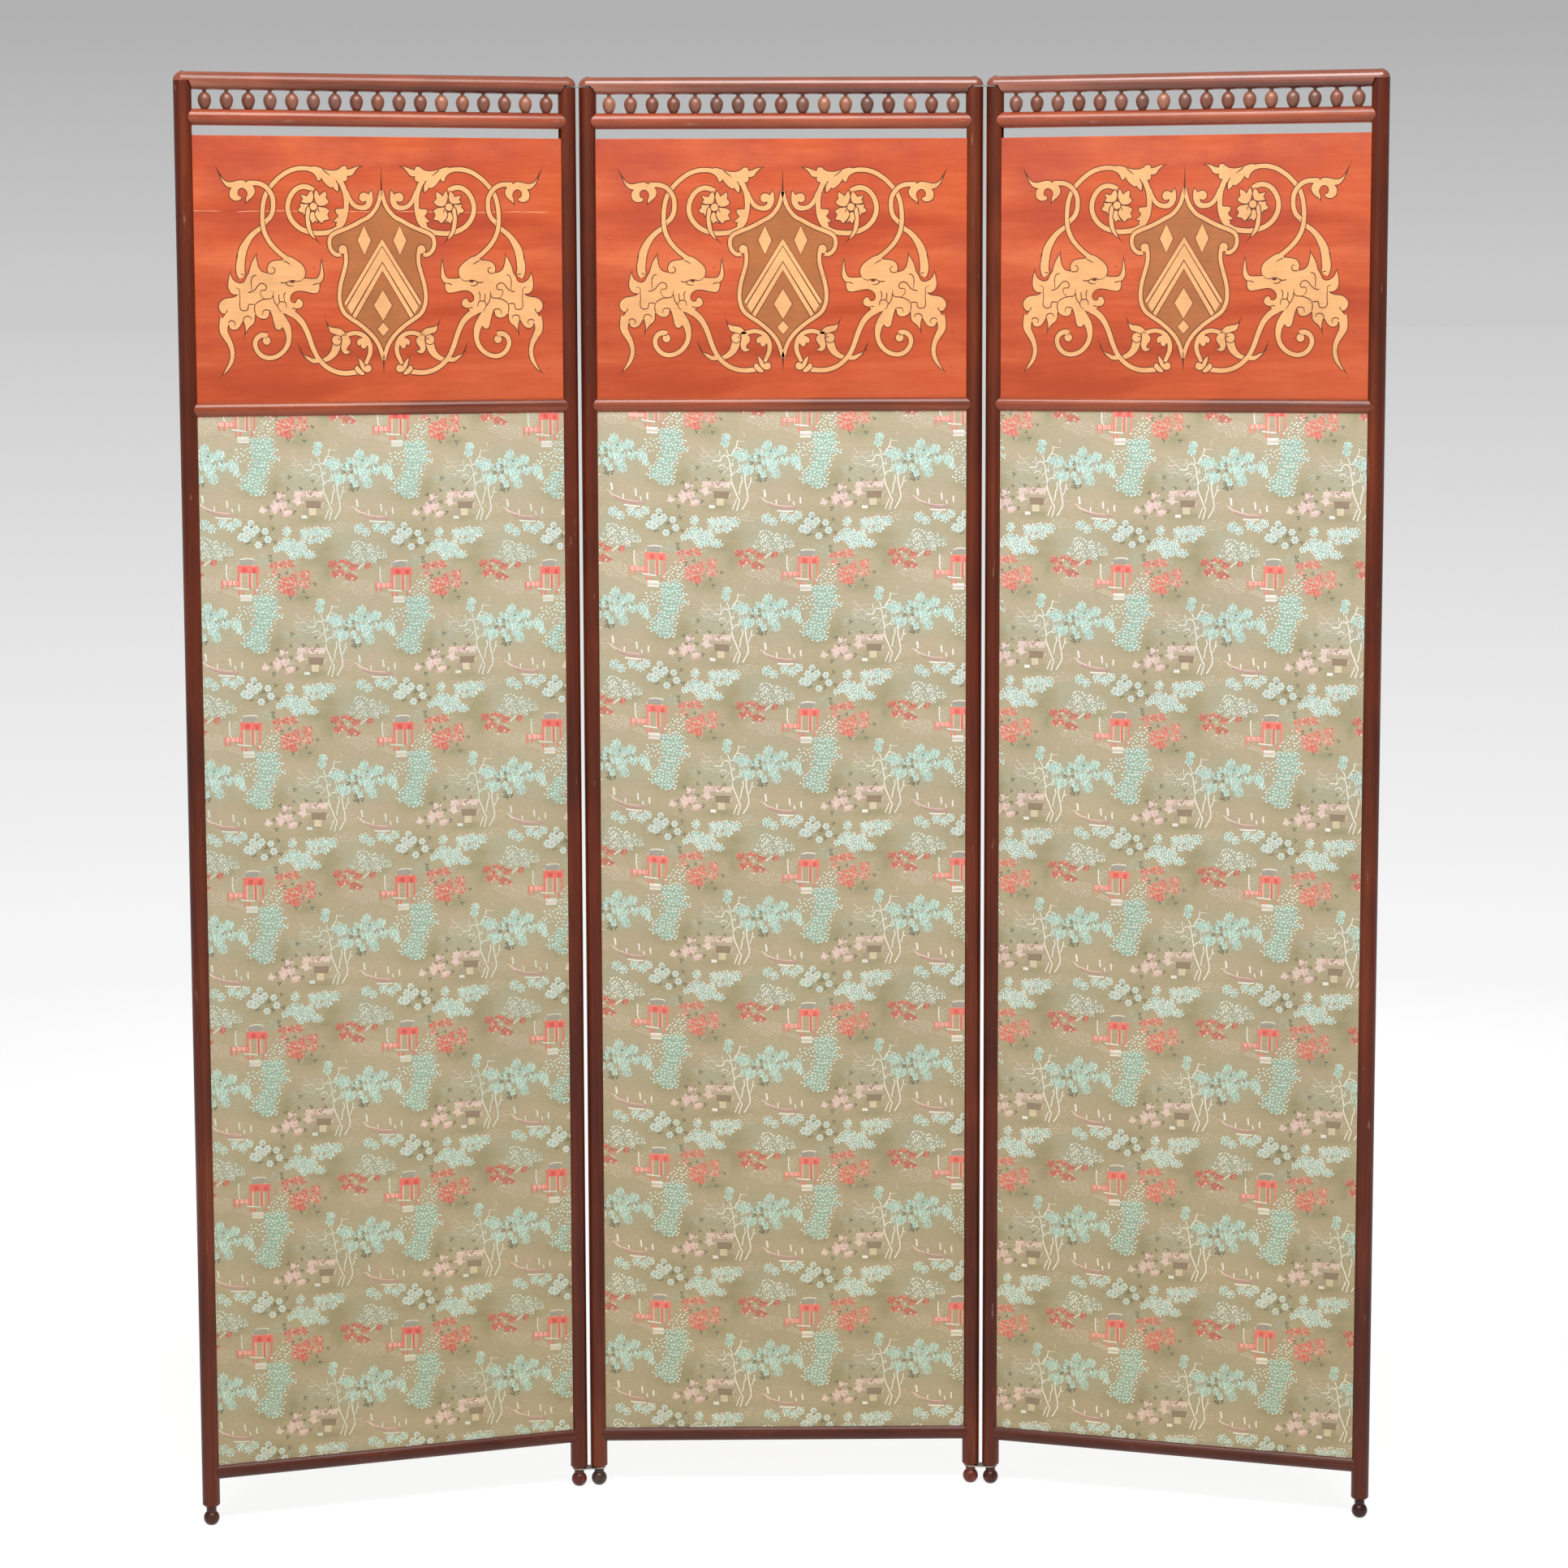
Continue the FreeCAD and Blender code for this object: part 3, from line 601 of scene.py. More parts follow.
foliage = {
    "clouds": {"stamp": "bud", "threads": ("white", "white", "paleMint"), "gap": 2.25, "size": 0.95,
        "under": "cloud", "lift": 0.08, "lean": 1.4, "turn": 0.7, "patches": ((64, 221, 4, 4),
        (78, 228, 11, 6), (83, 221, 11, 6), (71, 223, 8, 5), (93, 225, 8, 7), (85, 214, 7, 5),
        (95, 217, 6, 5), (104, 215, 8, 5), (77, 242, 5, 6), (98, 240, 5, 7), (105, 241, 6, 6),
        (115, 242, 8, 7), (126, 242, 7, 6), (116, 233, 6, 4), (106, 231, 5, 4), (-22, 58, 6, 6),
        (-14, 54, 5, 5), (0, 60, 6, 6), (9, 57, 6, 6), (17, 62, 5, 5))},
    "mintTree": {"stamp": "leaf", "threads": ("mint", "paleMint", "mint"), "gap": 2.1, "under": "mintShade",
        "lift": 0.06, "lean": 1.4, "turn": 0.8, "patches": ((-21, 147, 6, 6.5), (-3, 141, 6.5, 6.5),
        (-12, 139, 6, 5.5), (-22, 138, 6, 4), (-32, 138, 5, 5), (-37, 132, 5, 4), (-60, 136, 3.5, 4.5),
        (-52, 135, 9, 7.5), (-46, 118, 8.5, 7.5), (-21, 128, 6.5, 5.5), (-12, 127, 6.5, 6),
        (1, 129, 5, 5.5), (13, 130, 6.5, 7), (17.5, 122, 4.5, 4.5), (-14, 119, 6.5, 5),
        (-11, 113, 6.5, 5.5), (-31, 119, 4, 4), (-26, 112, 3.5, 4.5), (-71, 157, 5, 5),
        (-72.5, 150, 4.5, 5.5))},
    "mintGaps": {"stamp": "sprig", "threads": ("dark", "dark", "sage"), "gap": 3, "size": 1.2, "lift": 0.16,
        "patches": ((-32, 133), (-38, 134), (-45, 128), (-41, 125), (-49, 125), (-30, 125), (-15, 140),
        (-11, 132), (-6, 128), (0, 133), (-35, 116), (-32, 110), (-30, 105), (-28, 102), (-23, 105),
        (-17, 108), (-9, 111), (-57, 123), (-29, 108), (-33, 106))},
    "willow": {"stamp": "leaf", "threads": ("teal", "mintShade"), "gap": 5, "under": "teal",
        "patches": willowBoughs},
    "willowBuds": {"stamp": "bud", "threads": ("white", "white", "paleMint"), "gap": 3.4, "turn": 0.5,
        "lift": 0.16, "patches": ((57, 187, 5, 4), (55, 180, 9, 5), (51, 172, 12, 6), *willowBoughs,
        (23, 143, 9, 8))},
    "coralTree": {"stamp": "leaf", "threads": ("coral", "rose", "coral", "deepCoral"), "gap": 1.85,
        "patches": ((64, 201, 8, 4), (77, 203, 9, 4.5), (62, 191, 4, 4), (85, 189, 4, 4.5),
        (98, 190, 6.5, 5.5), (77, 182, 11, 5), (80, 178, 10, 5), (98, 180, 6, 5.5), (75, 172, 9, 6),
        (81, 168, 5, 3.5), (69, 177, 4, 6))},
    "coralHaze": {"stamp": "speck", "threads": ("rose", "coral"), "gap": 2.5, "patches": ((48, 193, 8, 4),
        (57, 192, 4, 3), (55, 202, 4, 2.5), (91, 174, 7, 4))},
    "maple": {"stamp": "leaf", "threads": ("maple", "maple", "coral"), "gap": 2.0, "under": "mapleShade",
        "patches": ((-55, 203.5, 5.5, 4.5), (-52, 192, 5, 4), (-48, 198.5, 2.5, 3.5), (-44, 207, 4, 2),
        (-37, 205, 4, 2), (-30, 201, 5.5, 4), (-35, 189, 5, 5), (-28, 187, 4, 2.5), (-12, 202, 3.5, 4),
        (-44, 193, 3, 3))},
    "mapleSparks": {"stamp": "bud", "threads": ("white", "fawn"), "gap": 3, "lift": 0.16,
        "patches": ((-51, 198), (-47, 193), (-45, 204), (-38, 198), (-30, 204), (-27, 206), (-30, 195),
        (-28, 193), (-50, 187), (-38, 183), (-31, 186))},
    "paleTree": {"stamp": "bud", "threads": ("white", "sage", "white", "mist"), "gap": 2.6, "under": "haze",
        "lift": 0.06, "patches": ((-24, 227, 7, 5), (-16, 223, 7, 5), (-27, 220, 8, 5), (-17, 217, 8, 5),
        (-9, 223, 6, 5), (-7, 215, 8, 6), (-37, 215, 8, 4), (-27, 212, 9, 4), (-15, 210, 8, 4),
        (-5, 209, 5, 4), (-1, 221, 6, 5), (6, 216, 6, 5))},
    "pinkTree": {"stamp": "flower", "threads": ("pink", "fawn", "pink", "pinkDeep"), "gap": 3.4,
        "under": "pink", "patches": ((70, 95, 5, 4), (63, 82, 5, 7), (71, 84, 7, 5), (79, 76, 5, 4),
        (76, 73, 4, 3), (48, 78, 4, 4), (93, 97, 6, 6), (90, 90, 5, 4), (105, 98, 5, 4), (116, 99, 7, 4),
        (95, 92, 4, 5))},
    "pinkHatch": {"stamp": "speck", "threads": ("pink", "rose", "pink"), "gap": 2.3,
        "patches": ((-62, 82, 7, 8), (-49, 83, 4, 6), (-39, 82, 6, 7))},
    "stipple": {"stamp": "speck", "threads": ("white", "fawn", "white"), "gap": 1.9, "size": 0.9,
        "patches": ((-22, 178, 17, 7), (-17, 171, 14, 5), (-37, 179, 9, 5), (8, 193, 6, 9),
        (101, 130, 20, 10), (118, 115, 10, 6), (-45, 60, 15, 6))},
    "sprigs": {"stamp": "sprig", "threads": ("dark", "dark", "sage"), "gap": 3, "size": 1.15, "lift": 0.12,
        "patches": ((70, 121), (76, 119), (80, 118), (75, 114), (85, 115), (90, 117), (88, 110), (85, 105),
        (93, 105), (104, 106), (106, 98), (113, 105), (120, 110), (126, 109), (110, 113), (63, 98),
        (74, 99), (80, 103), (73, 92), (80, 91), (65, 89), (81, 84), (69, 77), (85, 77), (56, 81), (63, 68),
        (57, 69), (47, 211), (55, 211), (44, 206), (51, 204), (56, 206), (80, 195), (75, 192), (67, 188),
        (88, 204), (109, 179), (111, 181), (96, 169), (101, 163), (101, 159), (80, 162), (83, 163),
        (88, 174), (36, 58), (45, 49), (59, 49), (16, 49), (31, 39), (48, 37), (59, 56), (36, 43), (61, 40),
        (19, 40))},
}

# Soft changes in the ground: across, up, half width, half height, colour

groundShades = (
    (41, 47, 27, 15, "olive"), (113, 209, 20, 7, "olive"), (125, 225, 14, 9, "olive"),
    (-62, 195, 8, 13, "olive"), (64, 109, 9, 12, "olive"), (39, 99, 22, 10, "olive"),
    (109, 69, 22, 5, "olive"), (-2, 207, 10, 6, "olive"), (-22, 128, 42, 24, "haze"),
    (103, 121, 28, 16, "haze"), (51, 207, 14, 8, "haze"), (-22, 217, 26, 12, "haze"),
    (-19, 177, 28, 12, "fawnGround"), (-7, 87, 34, 10, "fawnGround"), (83, 145, 22, 9, "fawnGround"),
    (-32, 47, 22, 8, "haze"), (93, 163, 18, 7, "olive"), (8, 155, 16, 6, "fawnGround"),
)

# Drawn threads: colour, width, points

strokes = (
    ("white", 1.6, ((-65, 105), (-63, 98), (-60, 91), (-57, 83))),
    ("white", 1.4, ((-63.5, 68.5), (-61, 75), (-58.5, 81))),
    ("white", 1.5, ((-58.5, 67), (-56.5, 74), (-55, 79), (-57, 83))),
    ("white", 1.4, ((-52.5, 110), (-51.5, 104), (-53.5, 99), (-54.5, 92), (-55.5, 87))),
    ("white", 1.6, ((-48.5, 112), (-48, 104), (-46.5, 95), (-45, 88), (-45, 82), (-47.5, 76), (-52, 68.5))),
    ("white", 1.2, ((-40.5, 109), (-41.5, 102), (-44.5, 94))),
    ("white", 1, ((-41.5, 103), (-38, 102))),
    ("fawn", 0.9, ((-69, 82), (-64, 90))),
    ("white", 1.4, ((-65, 105), (-64.5, 111), (-65.5, 117), (-66.5, 122))),
    ("white", 1.1, ((-66.5, 122), (-64, 125.5), (-62, 124), (-64, 122))),
    ("white", 0.7, ((-62, 131), (-63.5, 127))),
    ("white", 1.2, ((-66.5, 122), (-67, 128), (-68.5, 132), (-72, 134.5), (-76, 133.5), (-77.5, 130),
        (-78.5, 127.5))),
    ("white", 1.2, ((-64.5, 111), (-61, 114), (-57.5, 115), (-55, 113.5))),
    ("white", 1, ((-57.5, 115), (-56, 119), (-55, 122), (-56, 128))),
    ("fawn", 0.9, ((-67, 122), (-69, 120), (-71, 116), (-74, 114), (-77, 112))),
    ("white", 1, ((-81, 120), (-78, 122.5), (-75, 122.5), (-72, 121.5))),
    ("white", 1, ((-87, 127.5), (-84, 127.5), (-78.5, 127.5))),
    ("fawn", 0.9, ((-83, 135), (-81, 132))),
    ("white", 0.7, ((-79, 141), (-78.5, 133))),
    ("fawn", 0.9, ((-102, 132.5), (-97, 132), (-92, 133.5), (-88, 130))),
    ("fawn", 0.9, ((-102, 144), (-99, 140), (-95, 137))),
    ("fawn", 0.9, ((-94, 123.5), (-90, 123), (-88, 124.5))),
    ("white", 1.2, ((-71, 143), (-69, 138), (-68, 135), (-65, 135.5), (-64, 137), (-62.5, 140.5),
        (-60, 143.5), (-58.5, 146), (-57.5, 150), (-57, 154))),
    ("white", 1, ((-59, 144), (-55, 144), (-52, 141))),
    ("fawn", 0.9, ((-57.5, 152), (-53, 152), (-48, 152))),
    ("fawn", 0.9, ((-48, 158), (-49.5, 163))),
    ("white", 1.5, ((3, 201), (3, 195), (3, 188), (4, 183), (5.5, 180))),
    ("white", 1.4, ((-24, 198), (-21, 201), (-18, 203), (-16, 205))),
    ("white", 1.6, ((13, 173), (21, 172), (30, 171.5))),
    ("white", 1.2, ((20, 207), (28, 208.5), (37, 207.5))),
    ("white", 1.1, ((37, 208), (36, 204), (35, 198))),
    ("white", 1, ((17, 201), (20, 207))),
    ("fawn", 0.6, ((-1, 168), (18, 161))),
    ("fawn", 0.6, ((5, 171), (19, 165))),
    ("fawn", 0.6, ((2, 169.5), (19, 163))),
    ("pink", 2.4, ((-27, 83), (-24, 79.5), (-19, 77), (-14, 75.5))),
    ("hull", 4.4, ((-20, 76.5), (-12, 73), (-2, 71), (9, 70.5), (16, 72))),
    ("pinkDeep", 1.4, ((-22, 79), (-13, 75), (-3, 73), (8, 72.5))),
    ("roof", 1, ((-9, 72), (1, 70.5))),
    ("white", 1.8, ((-9, 67), (1, 66.5), (11, 66.5))),
    ("white", 2.4, ((-25, 93), (-24, 90), (-23.5, 84))),
    ("white", 2, ((5, 88), (5.5, 84), (6, 79))),
    ("white", 2, ((20, 84), (19.5, 81), (20, 76))),
    ("white", 1.6, ((11, 79), (12, 74))),
    ("white", 1.6, ((-10, 81), (-10, 75))),
    ("cream", 1.4, ((-31, 83.5), (-27.5, 83.5))),
)

# Flat blocks of colour: colour, low left corner, width, height

blocks = (
    ("roofGrey", (18, 201), 19, 6), ("coral", (16.5, 191), 25.5, 9), ("deepCoral", (22, 192), 6, 6),
    ("deepCoral", (34, 191), 5, 6), ("coral", (16.5, 173), 2, 18), ("rose", (19.5, 173), 2, 18),
    ("rose", (28.5, 172), 1.5, 19), ("deepCoral", (30, 172), 1.5, 19), ("rose", (33, 173), 1.5, 18),
    ("coral", (39, 173), 2, 18), ("rose", (-3, 176), 20, 5), ("coral", (-3, 171), 2, 11),
    ("coral", (3, 171), 2, 11), ("coral", (9.5, 174), 1.5, 8), ("coral", (14, 175), 2, 7),
    ("coral", (17, 164), 2, 6), ("coral", (22, 164), 2, 6), ("coral", (36, 166), 2, 6),
    ("white", (19, 162), 14, 3), ("fawn", (19, 159), 14, 3), ("white", (19, 157), 14, 2),
    ("paleRoof", (94, 90), 29, 5), ("roof", (101, 82), 18, 8), ("wall", (97, 73), 7, 9),
    ("cream", (104, 73), 9, 9), ("white", (95, 69), 7, 4),
)

# Round flowers: across, up, radius. Their petals and hearts are shares of the radius and of the rise.

roundFlowers = (
    (33.5, 62, 4.6), (28.5, 54, 5.6), (39, 54.5, 5.6), (35.5, 49, 4.4), (22.5, 45, 6.2), (27.5, 44, 6.2),
    (50.5, 52.5, 4.8), (54, 43, 5.2), (42, 36, 5),
)

rosette = {
    "petals": 6, "corners": 5, "place": 0.62, "size": 0.36, "rise": 1.7, "heart": 0.3, "heartRise": 2,
}


def newWeave():
    return {"points": [], "faces": [], "colours": []}


def addShape(weave, rim, ridge, colour, faces):
    start = len(weave["points"])
    weave["points"] += [(x * mm, y * mm, -brocade["sunk"] * mm) for x, y in rim]
    weave["points"] += [(x * mm, y * mm, h * mm) for x, y, h in ridge]
    weave["colours"] += [colour] * (len(rim) + len(ridge))
    weave["faces"] += [tuple(start + i for i in face) for face in faces]


def addDome(weave, rim, colour, rise):
    count = len(rim)
    middle = (sum(p[0] for p in rim) / count, sum(p[1] for p in rim) / count, rise)
    addShape(weave, rim, [middle], colour, [(i, (i + 1) % count, count) for i in range(count)])


# A curve through all the points. A third value marks a sharp point.

def smoothLine(points, steps, closed=False):
    spots = []
    count = len(points)
    for i in range(count if closed else count - 1):
        p1, p2 = points[i], points[(i + 1) % count]
        p0 = points[i - 1] if closed or i > 0 else p1
        p3 = points[(i + 2) % count] if closed or i + 2 < count else p2
        p0 = p1 if len(p1) > 2 else p0
        p3 = p2 if len(p2) > 2 else p3
        for k in range(steps):
            t = k / steps
            weights = (-t + 2 * t**2 - t**3, 2 - 5 * t**2 + 3 * t**3, t + 4 * t**2 - 3 * t**3, t**3 - t**2)
            pull = list(zip(weights, (p0, p1, p2, p3)))
            spots.append(tuple(sum(w * p[j] for w, p in pull) / 2 for j in (0, 1)))
    return spots if closed else spots + [tuple(points[-1][:2])]


def sideSteps(line):
    for i, (x, y) in enumerate(line):
        ahead, behind = line[min(i + 1, len(line) - 1)], line[max(i - 1, 0)]
        dx, dy = ahead[0] - behind[0], ahead[1] - behind[1]
        length = math.hypot(dx, dy) or 1.0
        yield x, y, -dy / length, dx / length


def addThread(weave, points, width, colour):
    line = list(sideSteps(smoothLine(points, brocade["threadSteps"] if len(points) > 2 else 1)))
    rim = [(x + s * nx * width / 2, y + s * ny * width / 2) for s in (1, -1) for x, y, nx, ny in line]
    count = len(line)
    ridge = [(x, y, brocade["rise"] * brocade["threadRise"]) for x, y, nx, ny in line]
    faces = []
    for i in range(count - 1):
        left, right, top = i, count + i, 2 * count + i
        faces += [(left, top, top + 1, left + 1), (top, right, right + 1, top + 1)]
    addShape(weave, rim, ridge, colour, faces)


def addBlock(weave, corner, width, height, colour, rise):
    (x, y), edge = corner, brocade["blockEdge"]
    rim = [(x, y), (x + width, y), (x + width, y + height), (x, y + height)]
    left, right, low, high = x + edge, x + width - edge, y + edge, y + height - edge
    inner = [(left, low), (right, low), (right, high), (left, high)]
    sides = [(i, (i + 1) % 4, 4 + (i + 1) % 4, 4 + i) for i in range(4)]
    addShape(weave, rim, [(*p, rise) for p in inner], colour, sides + [(4, 5, 6, 7)])


def ringPoints(x, y, radius, count, stretch=1.0):
    turns = [2 * math.pi * i / count for i in range(count)]
    return [(x + radius * math.cos(a), y + radius * stretch * math.sin(a)) for a in turns]


def lobedRing(x, y, radius, lobes):
    spots = zip(ringPoints(x, y, radius, 2 * lobes), (1.0, brocade["notch"]) * lobes)
    return [(x + (a - x) * reach, y + (b - y) * reach) for (a, b), reach in spots]


def addMass(weave, x, y, halfWide, halfTall, colour):
    rim = []
    for a, b in ringPoints(x, y, halfWide, brocade["massCorners"], halfTall / halfWide):
        reach = random.uniform(*brocade["massReach"])
        rim.append((x + (a - x) * reach, y + (b - y) * reach))
    addDome(weave, rim, colour, brocade["massRise"])


# Stamps that are scattered: a share of the rise, and the rims of the domes

stampShapes = {
    "leaf": (1.0, [[(-2.2, 0), (0, -1.0), (2.2, 0), (0, 1.0)]]),
    "bud": (1.0, [ringPoints(0, 0, 1.5, 5, 0.75)]),
    "speck": (0.7, [ringPoints(0, 0, 0.85, 3)]),
    "sprig": (1.0, [ringPoints(x, y, 1.15, 4, 0.8) for x, y in ((-1.2, -0.9), (1.3, -0.5), (0.1, 1.3))]),
    "flower": (1.0, [lobedRing(0, 0, 2.2, 5)]),
}


def stampMesh(kind):
    weave = newWeave()
    share, rims = stampShapes[kind]
    for rim in rims:
        addDome(weave, rim, tone(255), brocade["rise"] * share)
    mesh = bpy.data.meshes.new(kind + "Stamp")
    mesh.from_pydata(weave["points"], [], weave["faces"])
    return mesh


def patchMesh(patches):
    points, faces = [], []
    count = brocade["patchCorners"]
    for x, y, *halves in patches:
        halfWide, halfTall = halves or (brocade["spot"], brocade["spot"])
        start = len(points)
        points += [(a * mm, b * mm, 0) for a, b in ringPoints(x, y, halfWide, count, halfTall / halfWide)]
        faces.append(tuple(range(start, start + count)))
    mesh = bpy.data.meshes.new("foliagePatch")
    mesh.from_pydata(points, [], faces)
    return mesh


def newGeometryTree(name, sockets):
    tree = bpy.data.node_groups.new(name, "GeometryNodeTree")
    tree.interface.new_socket("Geometry", in_out="INPUT", socket_type="NodeSocketGeometry")
    for label, kind in sockets:
        tree.interface.new_socket(label, in_out="INPUT", socket_type="NodeSocket" + kind)
    tree.interface.new_socket("Geometry", in_out="OUTPUT", socket_type="NodeSocketGeometry")
    entry = tree.nodes.new("NodeGroupInput")
    result = tree.nodes.new("NodeGroupOutput")
    return tree, entry.outputs, result.inputs


def finishTree(tree, entry, result, geometry):
    real = addNode(tree, "GeometryNodeRealizeInstances", {"Geometry": geometry})
    painted = addNode(tree, "GeometryNodeSetMaterial",
                      {"Geometry": real.outputs["Geometry"], "Material": entry["Material"]})
    tree.links.new(painted.outputs["Geometry"], result["Geometry"])


def addRandom(tree, seed, low, high):
    inputs = {2: low, 3: high, "Seed": seed}
    return addNode(tree, "FunctionNodeRandomValue", inputs, data_type="FLOAT").outputs[1]


def makeScatterTree():
    sockets = [("Stamp", "Object"), ("Spacing", "Float"), ("Lean", "Float"), ("Turn", "Float"),
               ("Smallest", "Float"), ("Largest", "Float"), ("Seed", "Int"), ("Material", "Material")]
    tree, entry, result = newGeometryTree("scatterThreads", sockets)
    seed = entry["Seed"]
    spread = addNode(tree, "GeometryNodeDistributePointsOnFaces", distribute_method="POISSON")
    setInputs(tree, spread, {"Mesh": entry["Geometry"], "Distance Min": entry["Spacing"], "Seed": seed,
                             "Density Max": brocade["densest"]})
    turn = addRandom(tree, seed, addMath(tree, "SUBTRACT", entry["Lean"], entry["Turn"]),
                     addMath(tree, "ADD", entry["Lean"], entry["Turn"]))
    facing = addNode(tree, "ShaderNodeCombineXYZ", {"Z": turn}).outputs["Vector"]
    size = addRandom(tree, seed, entry["Smallest"], entry["Largest"])
    stamp = addNode(tree, "GeometryNodeObjectInfo", {"Object": entry["Stamp"]})
    placed = addNode(tree, "GeometryNodeInstanceOnPoints", {
        "Points": spread.outputs["Points"], "Instance": stamp.outputs["Geometry"],
        "Rotation": facing, "Scale": size})
    pick = addRandom(tree, seed, 0.0, 1.0)
    inputs = {"Geometry": placed.outputs["Instances"], "Name": "pick", "Value": pick}
    marked = addNode(tree, "GeometryNodeStoreNamedAttribute", inputs, data_type="FLOAT", domain="INSTANCE")
    finishTree(tree, entry, result, marked.outputs["Geometry"])
    return tree


def makeRepeatTree():
    sockets = [("Cell", "Object"), ("Across", "Float"), ("Up", "Float"), ("Columns", "Int"),
               ("Rows", "Int"), ("Start", "Vector"), ("Material", "Material")]
    tree, entry, result = newGeometryTree("repeatBrocade", sockets)
    lastColumn = addMath(tree, "SUBTRACT", entry["Columns"], 1.0)
    lastRow = addMath(tree, "SUBTRACT", entry["Rows"], 1.0)
    grid = addNode(tree, "GeometryNodeMeshGrid", {
        "Size X": addMath(tree, "MULTIPLY", entry["Across"], lastColumn),
        "Size Y": addMath(tree, "MULTIPLY", entry["Up"], lastRow),
        "Vertices X": entry["Columns"], "Vertices Y": entry["Rows"]})
    moved = addNode(tree, "GeometryNodeTransform",
                    {"Geometry": grid.outputs["Mesh"], "Translation": entry["Start"]})
    cell = addNode(tree, "GeometryNodeObjectInfo", {"Object": entry["Cell"]})
    placed = addNode(tree, "GeometryNodeInstanceOnPoints",
                     {"Points": moved.outputs["Geometry"], "Instance": cell.outputs["Geometry"]})
    finishTree(tree, entry, result, placed.outputs["Instances"])
    return tree


def runTree(thing, tree, values):
    modifier = thing.modifiers.new(tree.name, "NODES")
    modifier.node_group = tree
    for item in tree.interface.items_tree:
        if item.in_out == "INPUT" and item.name in values:
            modifier[item.identifier] = values[item.name]
    graph = bpy.context.evaluated_depsgraph_get()
    done = thing.evaluated_get(graph)
    mesh = bpy.data.meshes.new_from_object(done, preserve_all_data_layers=True, depsgraph=graph)
    thing.modifiers.remove(modifier)
    return mesh


def paintPoints(mesh, name, colours):
    paint = mesh.attributes.new(name, "FLOAT_COLOR", "POINT")
    paint.data.foreach_set("color", [value for colour in colours for value in colour])


# A thread's colour; the left leaf's threads carry painted shade
def threadTone(key, name):
    return tone(*leafShadedThreads.get(key, {}).get(name, threads[name]))


def floatTone(colours, pick):
    own = colours[min(int(pick * len(colours)), len(colours) - 1)]
    least, spread, turns = brocade["floatShade"]
    level = least + spread * (pick * turns % 1)
    return (own[0] * level, own[1] * level, own[2] * level, 1.0)


def addFoliage(weave, scatter, key):
    stamps = {kind: newObject(kind + "Stamp", stampMesh(kind)) for kind in stampShapes}
    smallest, largest = brocade["floatScale"]
    for step, group in enumerate(foliage.values()):
        if "under" in group:
            for patch in group["patches"]:
                addMass(weave, *patch, threadTone(key, group["under"]))
        base = newObject("foliagePatch", patchMesh(group["patches"]))
        size = group.get("size", 1.0)
        mesh = runTree(base, scatter, {
            "Stamp": stamps[group["stamp"]], "Spacing": group["gap"] * mm, "Lean": group.get("lean", 0.0),
            "Turn": group.get("turn", math.pi), "Smallest": smallest * size, "Largest": largest * size,
            "Seed": brocade["scatterSeed"] + step})
        start = len(weave["points"])
        colours = [threadTone(key, name) for name in group["threads"]]
        weave["colours"] += [floatTone(colours, item.value) for item in mesh.attributes["pick"].data]
        lift = Vector((0, 0, group.get("lift", 0) * mm))
        weave["points"] += [tuple(v.co + lift) for v in mesh.vertices]
        weave["faces"] += [tuple(start + i for i in face.vertices) for face in mesh.polygons]
        bpy.data.objects.remove(base)
    for stamp in stamps.values():
        bpy.data.objects.remove(stamp)


def addRosette(weave, key, x, y, radius):
    rise, corners, petals = brocade["rise"], rosette["corners"], rosette["petals"]
    addDome(weave, lobedRing(x, y, radius, petals), threadTone(key, "mist"), rise)
    for a, b in ringPoints(x, y, radius * rosette["place"], petals):
        rim = ringPoints(a, b, radius * rosette["size"], corners)
        addDome(weave, rim, threadTone(key, "petal"), rise * rosette["rise"])
    heart = ringPoints(x, y, radius * rosette["heart"], corners)
    addDome(weave, heart, threadTone(key, "sage"), rise * rosette["heartRise"])


def drawRepeat(scatter, key):
    random.seed(brocade["drawSeed"])
    weave = newWeave()
    for step, (colour, corner, width, height) in enumerate(blocks):
        rise = brocade["rise"] + brocade["blockStep"] * step
        addBlock(weave, corner, width, height, threadTone(key, colour), rise)
    addFoliage(weave, scatter, key)
    for x, y, radius in roundFlowers:
        addRosette(weave, key, x, y, radius)
    for colour, width, points in strokes:
        addThread(weave, points, width, threadTone(key, colour))
    across, up = (full / drawn for full, drawn in zip(brocade["repeat"], brocade["drawn"]))
    mesh = bpy.data.meshes.new(key + "Repeat")
    mesh.from_pydata([(x * across, y * up, z) for x, y, z in weave["points"]], [], weave["faces"])
    paintPoints(mesh, "threadColour", weave["colours"])
    return mesh


def clothSlant(key, x):
    line = brocade["slant"][key]
    for (x0, rise0), (x1, rise1) in zip(line, line[1:]):
        if x / mm <= x1:
            return (rise0 + (rise1 - rise0) * (x / mm - x0) / (x1 - x0)) * mm
    return line[-1][1] * mm


def groundTone(key, x, z):
    colour = tone(*threads["ground"])
    spot = (x, z - clothSlant(key, x))
    sizes = list(zip(spot, brocade["origins"][key], brocade["drawn"], brocade["repeat"]))
    for u, v, halfWide, halfTall, shade in groundShades:
        offsets = []
        for (place, origin, drawn, repeat), middle in zip(sizes, (u, v)):
            away = place / mm - origin - middle * repeat / drawn
            offsets.append((away + repeat / 2) % repeat - repeat / 2)
        across, up = offsets
        weight = brocade["shadeDepth"] * math.exp(-(across / halfWide) ** 2 - (up / halfTall) ** 2)
        colour = tuple(a + (b - a) * weight for a, b in zip(colour, tone(*threads[shade])))
    return colour


def addWave(tree, where, scale, axis):
    inputs = {"Vector": stretched(tree, where, scale), "Scale": 1.0}
    return addNode(tree, "ShaderNodeTexWave", inputs, bands_direction=axis).outputs["Fac"]


